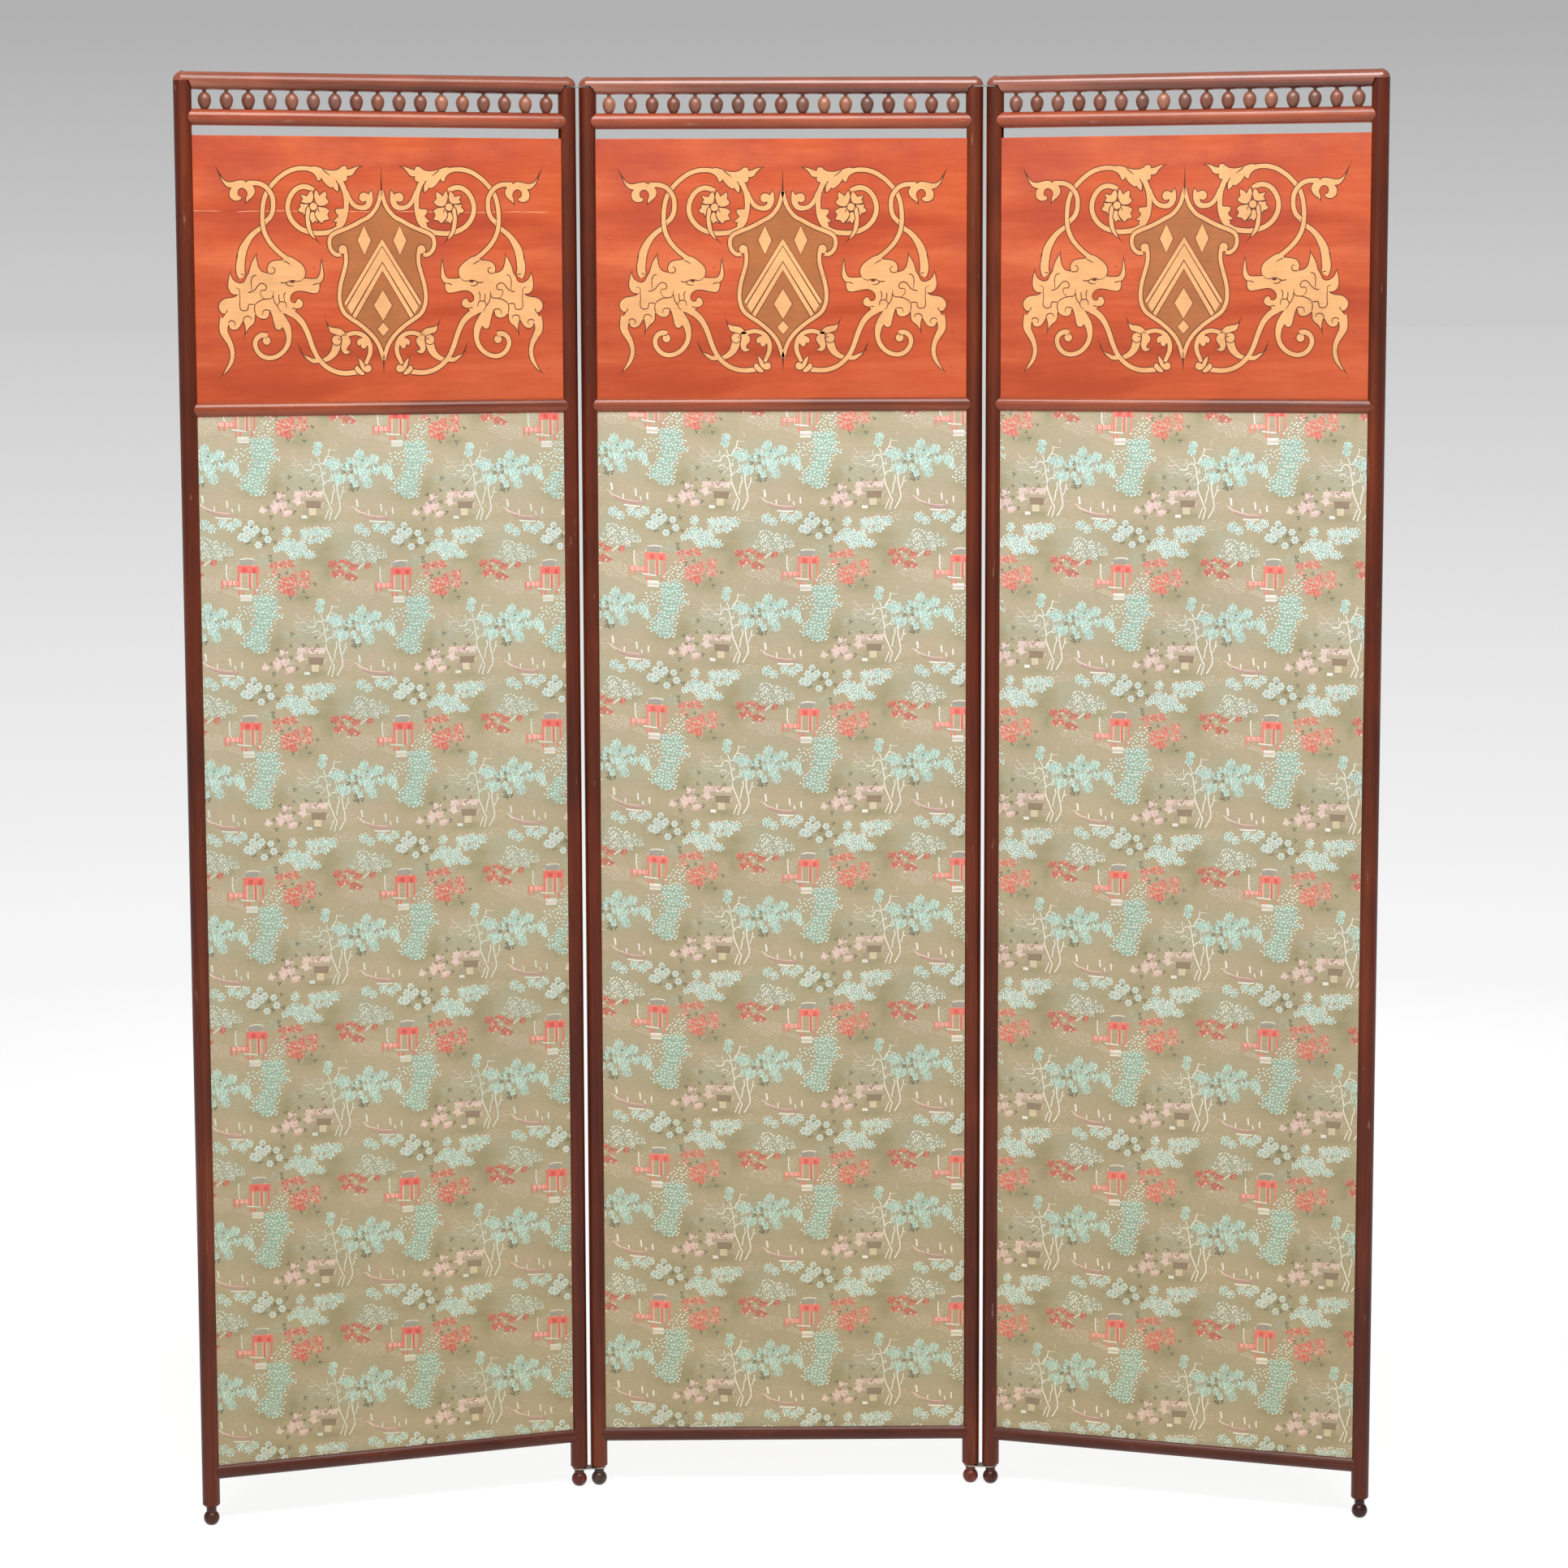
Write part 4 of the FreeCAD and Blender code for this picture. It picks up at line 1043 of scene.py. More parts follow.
def silkFinish(name, kind):
    material, tree, shader = newFinish(name)
    where = addNode(tree, "ShaderNodeUVMap", uv_map="OFBake").outputs["UV"]
    paint = addNode(tree, "ShaderNodeAttribute", attribute_name="threadColour").outputs["Color"]
    weaving = addMath(tree, "MULTIPLY", addWave(tree, where, silk["warp"], "X"),
                      addWave(tree, where, silk["weft"], "Y"))
    slubs = addNoise(tree, where, *silk["slubs"])
    shade = addMath(tree, "ADD", addRange(tree, weaving, *silk["woven"]),
                    addRange(tree, slubs, *silk["slubbed"]))
    faded = addRange(tree, addNoise(tree, where, *silk["fading"]), *silk["faded"])
    shade = addMath(tree, "MULTIPLY", shade, faded)
    # Painted shade: the silk's colour is darker and yellower towards the floor
    footShadeStops = zip(silk["footShadeReach"], ((*silk["footShadeTint"], 1.0), tone(255)))
    aged = addRamp(tree, addSplit(tree, where, "Y"), list(footShadeStops))
    colour = addShade(tree, addMix(tree, 1.0, paint, aged, "MULTIPLY"), shade)
    setFinish(tree, shader, silk, colour, addRange(tree, slubs, *silk[kind]["gloss"]), weaving)
    shader.inputs["Specular IOR Level"].default_value = silk[kind]["specular"]
    return material


def clothSwell(x, z, low, high):
    roll = brocade["roll"] * mm
    edge = min(x - low.x, high.x - x, z - low.z, high.z - z) / roll
    edge = min(max(edge, 0.0), 1.0)
    return brocade["crown"] * mm * math.sin(edge * math.pi / 2)


def mapFlat(mesh, spots, low, high):
    layer = mesh.uv_layers.new(name="OFBake")
    for loop in mesh.loops:
        x, z = spots[loop.vertex_index]
        layer.data[loop.index].uv = ((x - low.x) / (high.x - low.x), (z - low.z) / (high.z - low.z))


def finePlaces(low, high, count, roll):
    steps = brocade["rollSteps"]
    edge = [low + roll * (1 - math.cos(math.pi / 2 * i / steps)) for i in range(steps + 1)]
    inner = [low + roll + (high - low - 2 * roll) * i / count for i in range(1, count)]
    return edge + inner + [low + high - e for e in reversed(edge)]


def stretchedSheet(name, leaf, low, high, front, colourAt, material):
    roll, thick = brocade["roll"] * mm, brocade["thick"] * mm
    columns, rows = brocade["cells"]
    across = finePlaces(low.x, high.x, columns, roll)
    up = finePlaces(low.z, high.z, rows, roll)
    wide, tall = len(across), len(up)
    spots = [(x, z) for z in up for x in across]
    level = abs(low.y if front < 0 else high.y)
    outer = [(x, front * (level + clothSwell(x, z, low, high)), z) for x, z in spots]
    inner = [(x, front * (level - thick), z) for x, z in spots]
    total = wide * tall
    faces = []
    for j in range(tall - 1):
        for i in range(wide - 1):
            a = j * wide + i
            quad = (a, a + 1, a + wide + 1, a + wide)
            faces += [quad, tuple(total + k for k in reversed(quad))]
    rim = list(range(wide)) + [j * wide + wide - 1 for j in range(1, tall)]
    rim += [total - 1 - i for i in range(1, wide)] + [j * wide for j in range(tall - 2, 0, -1)]
    faces += [(b, a, total + a, total + b) for a, b in zip(rim, rim[1:] + rim[:1])]
    if front > 0:
        faces = [tuple(reversed(face)) for face in faces]
    mesh = bpy.data.meshes.new(name)
    mesh.from_pydata([leaf["place"] @ Vector(p) for p in outer + inner], [], faces)
    mapFlat(mesh, spots * 2, low, high)
    paintPoints(mesh, "threadColour", [colourAt(x, z) for x, z in spots] * 2)
    mesh.materials.append(material)
    mesh.shade_smooth()
    return newObject(name, mesh)


def trim(mesh, low, high):
    work = bmesh.new()
    work.from_mesh(mesh)
    for axis, edge, side in ((0, low.x, -1), (0, high.x, 1), (1, low.z, -1), (1, high.z, 1)):
        place, normal = [0, 0, 0], [0, 0, 0]
        place[axis], normal[axis] = edge, side
        everything = work.verts[:] + work.edges[:] + work.faces[:]
        bmesh.ops.bisect_plane(work, geom=everything, plane_co=place, plane_no=normal, clear_outer=True)
    work.to_mesh(mesh)
    work.free()


def layFigures(key, leaf, cell, repeat, material, low, high):
    across, up = (size * mm for size in brocade["repeat"])
    columns, rows = brocade["copies"]
    originX, originZ = (place * mm for place in brocade["origins"][key])
    start = (originX, originZ + up * (brocade["firstRow"] + (rows - 1) / 2), 0)
    base = newObject(key + "_brocade_figures", bpy.data.meshes.new("empty"))
    mesh = runTree(base, repeat, {"Cell": cell, "Across": across, "Up": up, "Columns": columns,
                                  "Rows": rows, "Start": start, "Material": material})
    for vertex in mesh.vertices:
        vertex.co.y += clothSlant(key, vertex.co.x)
    tuckedX, tuckedZ = brocade["tucked"]
    tucked = Vector((tuckedX * mm, 0, tuckedZ * mm))
    trim(mesh, low + tucked, high - tucked)
    spots = [(v.co.x, v.co.y) for v in mesh.vertices]
    for vertex, (x, z) in zip(mesh.vertices, spots):
        swell = clothSwell(x, z, low, high)
        vertex.co = leaf["place"] @ Vector((x, low.y - swell - vertex.co.z, z))
    mapFlat(mesh, spots, low, high)
    base.data = mesh
    return base


def liningTone(x, z):
    return tone(*silk["lining"])


def coverPanels():
    scatter, repeat = makeScatterTree(), makeRepeatTree()
    groundSilk = silkFinish("brocadeGround", "plain")
    figureSilk = silkFinish("brocadeFigures", "figured")
    liningCloth = silkFinish("liningSateen", "plain")
    for key, leaf in leaves.items():
        low, high = leafBox(leaf, key + "_brocade")
        ground = partial(groundTone, key)
        cloth = stretchedSheet(key + "_brocade_cloth", leaf, low, high, -1, ground, groundSilk)
        cell = newObject(key + "Repeat", drawRepeat(scatter, key))
        figures = layFigures(key, leaf, cell, repeat, figureSilk, low, high)
        bpy.data.objects.remove(cell)
        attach(cloth, leaf["body"])
        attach(figures, leaf["body"])
        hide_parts(key + "_brocade")
        print(key, "figures:", len(figures.data.polygons), "faces")
        low, high = leafBox(leaf, key + "_back_lining")
        lining = stretchedSheet(key + "_lining_cloth", leaf, low, high, 1, liningTone, liningCloth)
        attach(lining, leaf["body"])
        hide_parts(key + "_back_lining")


coverPanels()
print("panels covered")

# Inlay. Light scrolls with dark edges lie in each board, drawn in millimetres from the middle of its foot.

inlay = {
    "gold": (236, 175, 118),
    "line": (98, 46, 26),
    "shield": (174, 106, 60),
    "edge": 1.1,  # width of the dark line round a light piece
    "under": 0.3,  # how far that line runs in under the piece
    "lift": (0.05, 0.05),  # height of the lowest level over the board, and of each level over the one below
    "lineDrop": 0.5,  # a dark line lies this part of a level under its piece
    "deep": 0.25,
    "hidden": 2.0,  # strip of the board in the rail's groove, below the drawing
    "axis": 1.5,  # the drawing is mirrored about this line
    "steps": 6,
    "ballCorners": 20,
    "vein": 1.1,
    "eye": (-107, 139.8, 2.8, 12, 0.5),  # across, up, half width, corners, height as a share of the width
    "levels": {"point": 0.3, "spike": 1, "shield": 1.6, "lozenge": 2.2, "stripe": 2.4, "vein": 5,
               "eye": 5.5},
    "streaks": ((30, 30, 420), 3, 0.6),
    "streaked": (0.3, 0.7, -0.08, 0.06),
    "clouds": (26, 3, 0.6),
    "clouded": (0.3, 0.7, 0.88, 1.08),
    "gloss": (0.3, 0.7, 0.36, 0.26),
    "surface": {"Specular IOR Level": 0.4, "Coat Weight": 0.12, "Coat Roughness": 0.2},
    "bump": (0.02 * mm, 0.4),
}


def tip(x, z):
    return (x, z, 1)


# The left half of the drawing, mirrored for the right. Bands: level, half widths along the band, points.
# Shapes less than half a level apart run into each other without a line.

inlayBands = (
    (2, (2.6,), ((-158, 254), (-152, 254), (-146, 253.8), (-138.5, 251), (-132.5, 245), (-129, 238),
        (-128.2, 230), (-129, 222), (-132, 215), (-137.5, 209.5))),
    (0, (2.6, 2.6, 3.2, 4.4, 5), ((-137, 210), (-143, 202.5), (-150, 197.5), (-156.5, 191), (-161.5, 183.5),
        (-165.3, 175.5), (-167.5, 166))),
    (2.5, (4.4, 5, 4.8, 4), ((-166.5, 170), (-168, 161), (-168.5, 154), (-167.5, 148), (-166, 145))),
    (1, (2.5,), ((-74, 268.5), (-84, 270.8), (-92, 271.5), (-100, 270.8), (-110, 267.5), (-120, 261),
        (-127, 254.5), (-133, 247.5), (-137, 240.5), (-139.6, 232), (-141, 222), (-141.2, 212),
        (-140.5, 203), (-138, 194.5), (-133, 185.5), (-126.5, 178), (-118, 170.5), (-108, 164))),
    (1, (3, 2.7, 2.8), ((-48, 258), (-44.5, 250.5), (-42, 243), (-41, 235), (-41, 227), (-42, 219),
        (-44.5, 211), (-49, 204.5), (-55, 200), (-62, 197.5), (-70, 196.5), (-78, 196.3), (-87, 198),
        (-95, 201), (-102, 206), (-107.5, 213), (-110.5, 221), (-110.8, 229), (-108.5, 237),
        (-104.5, 243.5), (-99, 248.2), (-92.5, 250.2), (-86, 249.4), (-80, 246.5))),
    (2.2, (2, 2.4, 2.4, 1.9, 0.4), ((-86, 227), (-87.3, 217), (-87, 208), (-85.3, 200), (-82.5, 194.5),
        (-79.3, 190))),
    (1.2, (4, 3, 2.6, 2.6, 2.8), ((-112, 105), (-104, 100.3), (-97, 93.5), (-92.5, 86), (-88.3, 76),
        (-84.8, 65.5), (-80.5, 55.5), (-76, 48.3), (-69, 41.3), (-61, 36.3), (-52, 33.4), (-43, 32.7),
        (-32, 33.8))),
    (0.6, (2.2, 3.4, 4.5, 4.9), ((-72, 47.6), (-65, 50.6), (-59.3, 55.8), (-56.2, 62), (-55, 68))),
    (1, (2.3, 2.5, 2.7, 2.6, 2), ((-45, 76.5), (-37, 79.2), (-31, 79.6), (-25, 78), (-19.5, 74), (-16, 68),
        (-14.5, 61.5), (-15.3, 55), (-18, 48.5), (-20.5, 43))),
    (1.2, (6, 4.2, 2.8, 2.6, 2.5, 2.6, 2.6, 2.8, 3.2), ((-126, 103), (-118.5, 93.5), (-114, 86),
        (-112.4, 78), (-112.6, 71), (-115.5, 63.5), (-121, 57), (-128, 52.8), (-136, 51.2), (-143.5, 53.2),
        (-149, 58), (-152.2, 64.5), (-152, 71), (-148.5, 76), (-143, 78), (-138, 76.8))),
    (1.2, (6.5, 5, 4.4, 3.6, 2.9, 2.5, 2.4, 2.2, 1.5, 0.3), ((-187, 97), (-189.3, 90), (-189.3, 82),
        (-185.5, 74.5), (-181.7, 67), (-179.8, 59), (-180, 52), (-182, 45.5), (-185.5, 39.5),
        (-190, 33.5))),
)

shieldBands = (
    (3, (2.3,), ((1.5, 246), (-3, 230), (-9, 220.5), (-15, 215), (-22, 211.5), (-30, 207), (-40, 202.3),
        (-50, 198.5), (-58, 194.5), (-61.5, 189), (-61.5, 181), (-58.5, 175), (-53.5, 171.3),
        (-48.5, 171.5))),
    (3, (2.3,), ((-43.5, 177), (-42.3, 170), (-42.8, 160), (-46, 148), (-49.2, 136), (-50.8, 124),
        (-49.8, 113), (-45.5, 103.5), (-38, 97), (-28, 90.5), (-18, 82.5), (-9, 73), (-3, 62.5),
        (1.5, 48))),
)

# Closed shapes: level, points. A tip is a sharp point.

inlayLeaves = (
    (1.3, ((-88, 270), (-80, 273.6), (-74, 272.8), (-68, 270.8), (-62, 269.3), (-56, 269), (-51, 270),
        (-47, 272.3), (-45, 274), (-41, 274), (-39.8, 272), tip(-39.5, 270), (-35, 271), (-30, 273),
        tip(-24, 274.3), (-27.5, 271.5), (-30.5, 268), (-33, 264.5), (-37, 263), tip(-40, 263.3),
        (-39.3, 260.5), (-40.5, 257.5), (-43.5, 257), tip(-46, 258.5), (-45, 253), tip(-49.6, 254),
        (-50.2, 250), tip(-50.5, 244.5), (-53.5, 246.5), tip(-56.8, 250.5), (-58.5, 249.2), (-62, 251),
        (-66, 254.5), (-69, 258.5), tip(-70.3, 261), (-71.5, 258.5), tip(-74.5, 257), (-75.8, 260),
        (-77.5, 263.5), (-81, 266.5), (-85, 268.3))),
    (1.3, (tip(-38.3, 235), (-36, 229.8), (-31, 225.6), (-25, 223.5), (-18, 223.4), (-12.7, 226.5),
        (-9.6, 232), (-8.8, 238), tip(-10, 246.5), (-12.3, 243.8), tip(-14, 241.3), (-16.5, 242.8),
        (-20, 243.6), (-23.4, 242.2), (-25.1, 239), (-24.7, 235.6), (-22.3, 233.4), (-19.3, 233.3),
        tip(-17.3, 234.4), (-16.8, 232.3), (-18.3, 230), (-21.5, 228.8), (-26, 229.1), (-30, 231),
        (-33.5, 235), (-36.5, 240.3), (-39, 246), (-42, 246), (-40.5, 240))),
    (1.2, (tip(-44, 225), (-49, 224.6), (-53, 224), (-53.7, 221.5), (-52, 218.5), tip(-50.3, 216.8),
        (-52.5, 214), tip(-56.8, 210.3), (-54, 209.7), tip(-51.8, 209.3), (-53.5, 206), (-49, 205),
        (-44, 212), (-42, 219))),
    (2.2, (tip(-190, 262), (-187, 258), (-183, 255.5), (-178, 254.8), (-172, 256), (-166, 257),
        (-162.5, 256.5), tip(-160, 254.5), (-156, 256.4), (-152, 256.5), (-152, 251), (-150.3, 248),
        (-149.5, 244.5), (-151, 240.5), (-154, 237), (-158, 234), tip(-159.5, 231.5), (-160, 236),
        (-158.6, 240), (-158.6, 243), (-160.5, 246.5), (-164.5, 248.5), (-168, 247.2), (-170, 244),
        (-169.8, 240.5), (-168, 238.7), (-166.2, 238.3), (-166, 235.8), (-169, 234), (-173.5, 233.8),
        (-177.8, 236.3), (-179.5, 240.5), (-179, 245), tip(-176.5, 248.6), (-181, 249.3), (-184.5, 251.8),
        (-187.5, 256))),
    (1.4, ((-114, 169), (-108, 168.3), (-103, 165.5), (-97, 161), (-93, 156.5), (-91.5, 151.5), (-92, 147),
        tip(-93.5, 143.8), (-88, 143.2), (-80, 143.2), (-76.5, 144.5), (-74.3, 148), (-73, 153),
        (-72.5, 158), tip(-71.7, 164), (-70.6, 157), (-69.7, 150), (-70, 144.5), (-72, 140.5),
        tip(-75, 138), (-74.6, 134), (-75.5, 129.5), (-78.5, 126.8), (-84, 127), (-90, 128.2), (-96, 129.3),
        (-102, 129.2), (-106.5, 127), (-109.3, 123.5), (-110, 119.5), (-108.5, 116.5), (-105.5, 115),
        (-102.8, 116), (-101.8, 118.5), (-99.5, 119.8), (-96.5, 118), (-95, 114.8), (-95.8, 111.5),
        (-98.5, 109.3), tip(-103, 108.5), (-106, 103), (-112, 101.8), (-117.5, 103), tip(-120.5, 104.6),
        (-117, 99), (-118, 93), (-121, 91), (-120.2, 87.5), (-122, 84.8), (-125, 84), (-127.8, 86),
        (-129.2, 90.5), (-130.5, 96), (-131.7, 101), tip(-133.5, 105.5), (-135.3, 104), (-135.8, 100.5),
        (-138.5, 97.6), (-143, 97), (-147, 98.4), (-150.3, 101), tip(-151.8, 103.5), (-152.6, 99),
        (-152.8, 95), (-154.5, 91), (-158.5, 87.8), (-161.3, 84.5), tip(-163, 81), (-163.8, 88), (-165, 93),
        tip(-166.2, 95.5), (-168.5, 91.5), (-171.5, 87), (-174.5, 85), (-178.5, 84.5), (-181.8, 86.5),
        (-183, 90), tip(-183.8, 92.5), (-188, 92), (-193.8, 92), (-191, 97), (-188, 101), tip(-186.5, 104),
        (-189, 103.2), (-191.5, 104.3), (-194, 108), (-194.3, 113), (-191.5, 117.5), (-186.5, 120.3),
        (-180, 121.2), (-175, 122.5), tip(-171.3, 125.3), (-174, 125.2), (-178, 126), (-181, 128.5),
        (-182.8, 133), (-183, 138), (-182, 144), tip(-180.6, 149.5), (-178.8, 144.5), (-176, 141),
        (-172, 138.7), (-168, 138), (-164, 140), (-161.5, 145), tip(-158, 150.5), (-157, 155), (-155, 161),
        (-152.3, 166), tip(-150, 170), (-148.7, 163), (-147, 156.5), (-144, 152.3), (-140, 150.3),
        tip(-135, 149.6), (-136.2, 153), (-136, 157), (-133.8, 161), (-130, 163.3), (-124, 164.4),
        tip(-118.5, 164.8))),
    (1, ((-76, 46), (-83, 45), (-88, 47.3), tip(-95, 54), (-89.5, 52.3), (-84, 50), (-78, 50))),
    (1.2, ((-48, 76), (-54, 77.8), (-58, 79), (-61.5, 80.3), (-63.3, 82.8), tip(-64.8, 88.5), (-61.5, 86.5),
        (-56, 85.6), (-51, 84.6), (-47.5, 82.5), tip(-45, 79.6), (-42, 77))),
    (1.2, ((-49, 78), (-48.3, 72), (-49.5, 65), (-49.2, 60), (-46.8, 56.5), (-43, 55.5), tip(-38, 58.3),
        (-41.8, 58.7), (-43.2, 60.8), (-41.8, 63.8), (-39.5, 66.5), (-38.4, 69.5), (-39, 72.8), (-41, 75),
        (-44, 79))),
    (1.2, ((-18, 73), tip(-23.5, 74), (-27.5, 72.8), (-30.3, 70), (-30, 66.5), (-28, 65), tip(-26, 67),
        (-25.5, 63.5), (-23, 61.2), (-20.5, 62.3), (-18.5, 65), (-15, 67))),
    (2, (tip(-29, 50), (-25.8, 47.5), (-22.6, 43), tip(-21.3, 39.5), (-19.5, 41.5), (-16, 42),
        (-13.8, 39.5), (-14, 35.8), (-17, 33.6), (-21, 34), (-24, 36.3), (-26.5, 40), (-28, 45))),
    (2.8, ((-33.5, 37.5), (-32.5, 40.3), (-30, 40.8), (-27.5, 38), (-24.5, 34.8), (-22.3, 32.3),
        (-23.5, 30.5), (-27.5, 31), (-31.5, 34))),
    (3, ((-76.5, 231), (-78.4, 236), (-79, 241), tip(-77, 247), (-75, 243.5), tip(-72.7, 239.5),
        (-70.5, 242), tip(-65.5, 245), (-64.8, 241), tip(-65.7, 237.5), (-64, 235.5), tip(-62, 233),
        (-64, 230.5), (-67.5, 228.6), (-73, 228.2))),
    (3, ((-74.5, 226.6), (-70, 226.2), (-66, 225.6), tip(-61, 222.5), (-63, 220), tip(-64, 217.5),
        (-62.6, 215), tip(-61.8, 212.3), (-65.5, 212), tip(-68.3, 211), tip(-70.5, 208), (-73.5, 210.5),
        (-76.5, 214), (-78.4, 218.5), (-76.5, 223))),
    (3, ((-79.5, 220), (-79, 216), (-77.5, 213), tip(-75, 208.5), tip(-78.5, 211), tip(-82, 207.8),
        (-83.3, 211), (-84.6, 212.8), (-84.3, 217), (-82.5, 221))),
    (3, ((-86.5, 229.5), (-92, 229.8), tip(-96, 230.5), tip(-95.5, 227), tip(-99, 223), (-96, 220.7),
        tip(-92.6, 220.3), tip(-91.8, 216.5), (-90.5, 220.5), (-89.8, 225))),
    (3, ((-82.5, 232.5), (-87.5, 231.2), (-92, 231.6), tip(-95, 233), tip(-92.5, 236), tip(-95.5, 241),
        (-91, 239.8), tip(-87.5, 239.2), (-86, 242), tip(-83, 245.5), (-81, 243), (-80.3, 238))),
)

# Round ends and hearts: level, across, up, radius

inlayBalls = (
    (3.2, -46, 177.5, 5), (1.2, -138.8, 71.4, 4.6), (1.3, -55, 71.5, 5.5), (4, -80.3, 227.3, 4.4),
)

# Dark lines on the shapes

inlayVeins = (
    ((-117, 164.5), (-112, 162), (-109, 159.7)),
    ((-135, 149.6), (-130, 149.5), (-127.7, 151.5), (-127.6, 154.5), (-129.5, 156.5), (-131.3, 156)),
    ((-121, 139.3), (-117, 138.5), (-113, 139.5), (-110, 141), (-105, 141.3), (-102, 140.3), (-97, 141),
        (-93.5, 143.8)),
    ((-115, 138.5), (-113, 136), (-109, 134.8), (-105.5, 135.3)),
    ((-150, 147.5), (-153.5, 146.5), (-155.5, 143), (-156, 138), (-155.5, 133), (-156, 129.5)),
    ((-160, 127.7), (-156.5, 128), (-152, 130.5), (-148.5, 135), (-145, 137.8), (-141.5, 137.8),
        (-138.5, 135.5), (-138, 132.5), (-139.5, 130.3), (-144, 130), (-145.5, 127.5), (-144.5, 124),
        (-142, 121), (-140.5, 120.3)),
    ((-150.5, 115), (-147, 117.3), (-143, 119), (-138, 120), (-133.5, 120.3), (-131, 122.5),
        (-130.3, 125.5), (-130, 128.5)),
    ((-130, 124), (-129.5, 119), (-127.5, 114.5), (-125, 111.5), (-123.5, 108), (-120.5, 104.8)),
    ((-123.3, 125), (-123.3, 120), (-122.5, 116.5), (-124.5, 113.5), (-125, 111)),
    ((-115.5, 127.5), (-117.3, 124), (-117, 120), (-116.5, 117)),
    ((-122, 116.5), (-117, 116.5), (-114.8, 114), (-114.5, 109.8)),
    ((-108, 109), (-103, 108.5)),
    ((-82.5, 136), (-79, 137.6), (-75, 138)),
    ((-152.5, 113.5), (-156, 113.7), (-159, 113.5), (-160, 111), (-160.5, 108), (-163, 106.6),
        (-167, 106.7), (-169.5, 109), (-170, 114), (-169.5, 120), (-170, 126), (-169.7, 130), (-171.5, 132),
        (-174.5, 133)),
    ((-151.8, 103.5), (-152.7, 108), (-152, 112), (-150.3, 115.3)),
    ((-133.5, 105.5), (-136, 107), (-140, 107.3), (-142.5, 105.5), (-143.2, 101)),
    ((-166.2, 95.3), (-165, 98.5), (-162, 100), (-158.5, 99.5), (-156.7, 97.5), (-156.8, 95.5)),
    ((-183.8, 92.5), (-182, 94.5), (-179, 94.7), (-176.3, 93), (-175.8, 90.5), (-177.3, 89)),
    ((-186.5, 104), (-185, 106), (-185.5, 107.5)),
    ((-168, 148.6), (-165, 148.4), (-162.8, 146)),
    ((-69, 270.5), (-64, 266.5), (-60, 263.5)),
    ((-53, 258), (-50.7, 254), (-49.4, 250), (-49, 245)),
    ((-53.5, 73), (-51, 72.5), (-49.6, 70)),
    ((-75, 225), (-73.5, 220.5)),
)

# Dark tapered points: half width at the foot, foot, point

inlayPoints = (
    (1.5, (-189, 260), (-196.5, 275)), (1.1, (-160, 236), (-161.5, 228)), (1.1, (-71.7, 160), (-71.7, 169)),
    (1.4, (-162.6, 86), (-166, 73)), (1.1, (-150, 166), (-148.6, 176)), (1.2, (-64.2, 86), (-69, 98)),
    (1.5, (-93, 51), (-98, 58.5)), (1.2, (-96.8, 56), (-102.5, 70.5)), (1.3, (-188, 37), (-195.5, 28)),
    (1.1, (-81, 192.5), (-71, 182)), (1.1, (-27, 273.6), (-18.5, 274.6)),
    (1.1, (-180.6, 146), (-180.5, 153.5)), (0.9, (-50.4, 247), (-50.4, 242.5)),
    (0.9, (-10, 244), (-10, 249.5)), (0.9, (-28.6, 48), (-30, 53)),
)

shieldSpikes = (
    (1.3, (1.5, 243), (1.5, 275)), (1.6, (1.5, 52), (1.5, 31)),
)

# Stripes: left foot above, left foot below, height of the upper and lower point

shieldStripes = (
    ((-45, 115.5), (-43, 111.5), 190, 182), ((-42, 110.5), (-36.5, 102), 180.5, 163.5),
    ((-35.5, 100.5), (-32, 96.5), 161.5, 152.5),
)

# Lozenges: middle across and up, half width, half height

shieldLozenges = (
    (-20, 188, 8, 17), (23, 188, 8, 17), (1.5, 112, 11, 18), (1.5, 84, 7, 8),
)


def newArt():
    return {"points": [], "colours": [], "under": [], "over": []}


def addPlate(art, outline, faces, level, colour):
    start, count = len(art["points"]), len(outline)
    first, step = inlay["lift"]
    top = first + step * level
    art["points"] += [(x, z, top) for x, z in outline] + [(x, z, -inlay["deep"]) for x, z in outline]
    art["colours"] += [colour] * (2 * count)
    art["over"] += [tuple(start + i for i in face) for face in faces]
    art["under"] += [tuple(start + count + i for i in reversed(face)) for face in faces]
    edges = {}
    for face in faces:
        for a, b in zip(face, face[1:] + face[:1]):
            edges[(a, b)] = True
    for a, b in edges:
        if (b, a) not in edges:
            art["under"].append((start + b, start + a, start + count + a, start + count + b))


def twiceArea(outline):
    return sum(a[0] * b[1] - b[0] * a[1] for a, b in zip(outline, outline[1:] + outline[:1]))


def facingFront(outline):
    return outline if twiceArea(outline) > 0 else outline[::-1]


def grown(outline, width):
    spread = []
    count = len(outline)
    for i, (x, z) in enumerate(outline):
        ahead, behind = outline[(i + 1) % count], outline[i - 1]
        dx, dz = ahead[0] - behind[0], ahead[1] - behind[1]
        length = math.hypot(dx, dz) or 1.0
        spread.append((x + dz / length * width, z - dx / length * width))
    return spread


def addOutline(art, outline, level, colour):
    smallest = 1e-9
    facing = []
    for a, b, c in tessellate_polygon([[Vector((x, z, 0)) for x, z in outline]]):
        (ax, az), (bx, bz), (cx, cz) = outline[a], outline[b], outline[c]
        turn = (bx - ax) * (cz - az) - (cx - ax) * (bz - az)
        if abs(turn) > smallest:
            facing.append((a, b, c) if turn > 0 else (a, c, b))
    addPlate(art, outline, facing, level, colour)


def addRim(art, inner, outer, level, colour):
    smallest = 1e-6
    count, quads = len(inner), []
    spots = inner + outer
    for i in range(count):
        after = (i + 1) % count
        quad = (count + i, count + after, after, i)
        if twiceArea([spots[k] for k in quad]) > smallest:
            quads.append(quad)
    addPlate(art, spots, quads, level, colour)


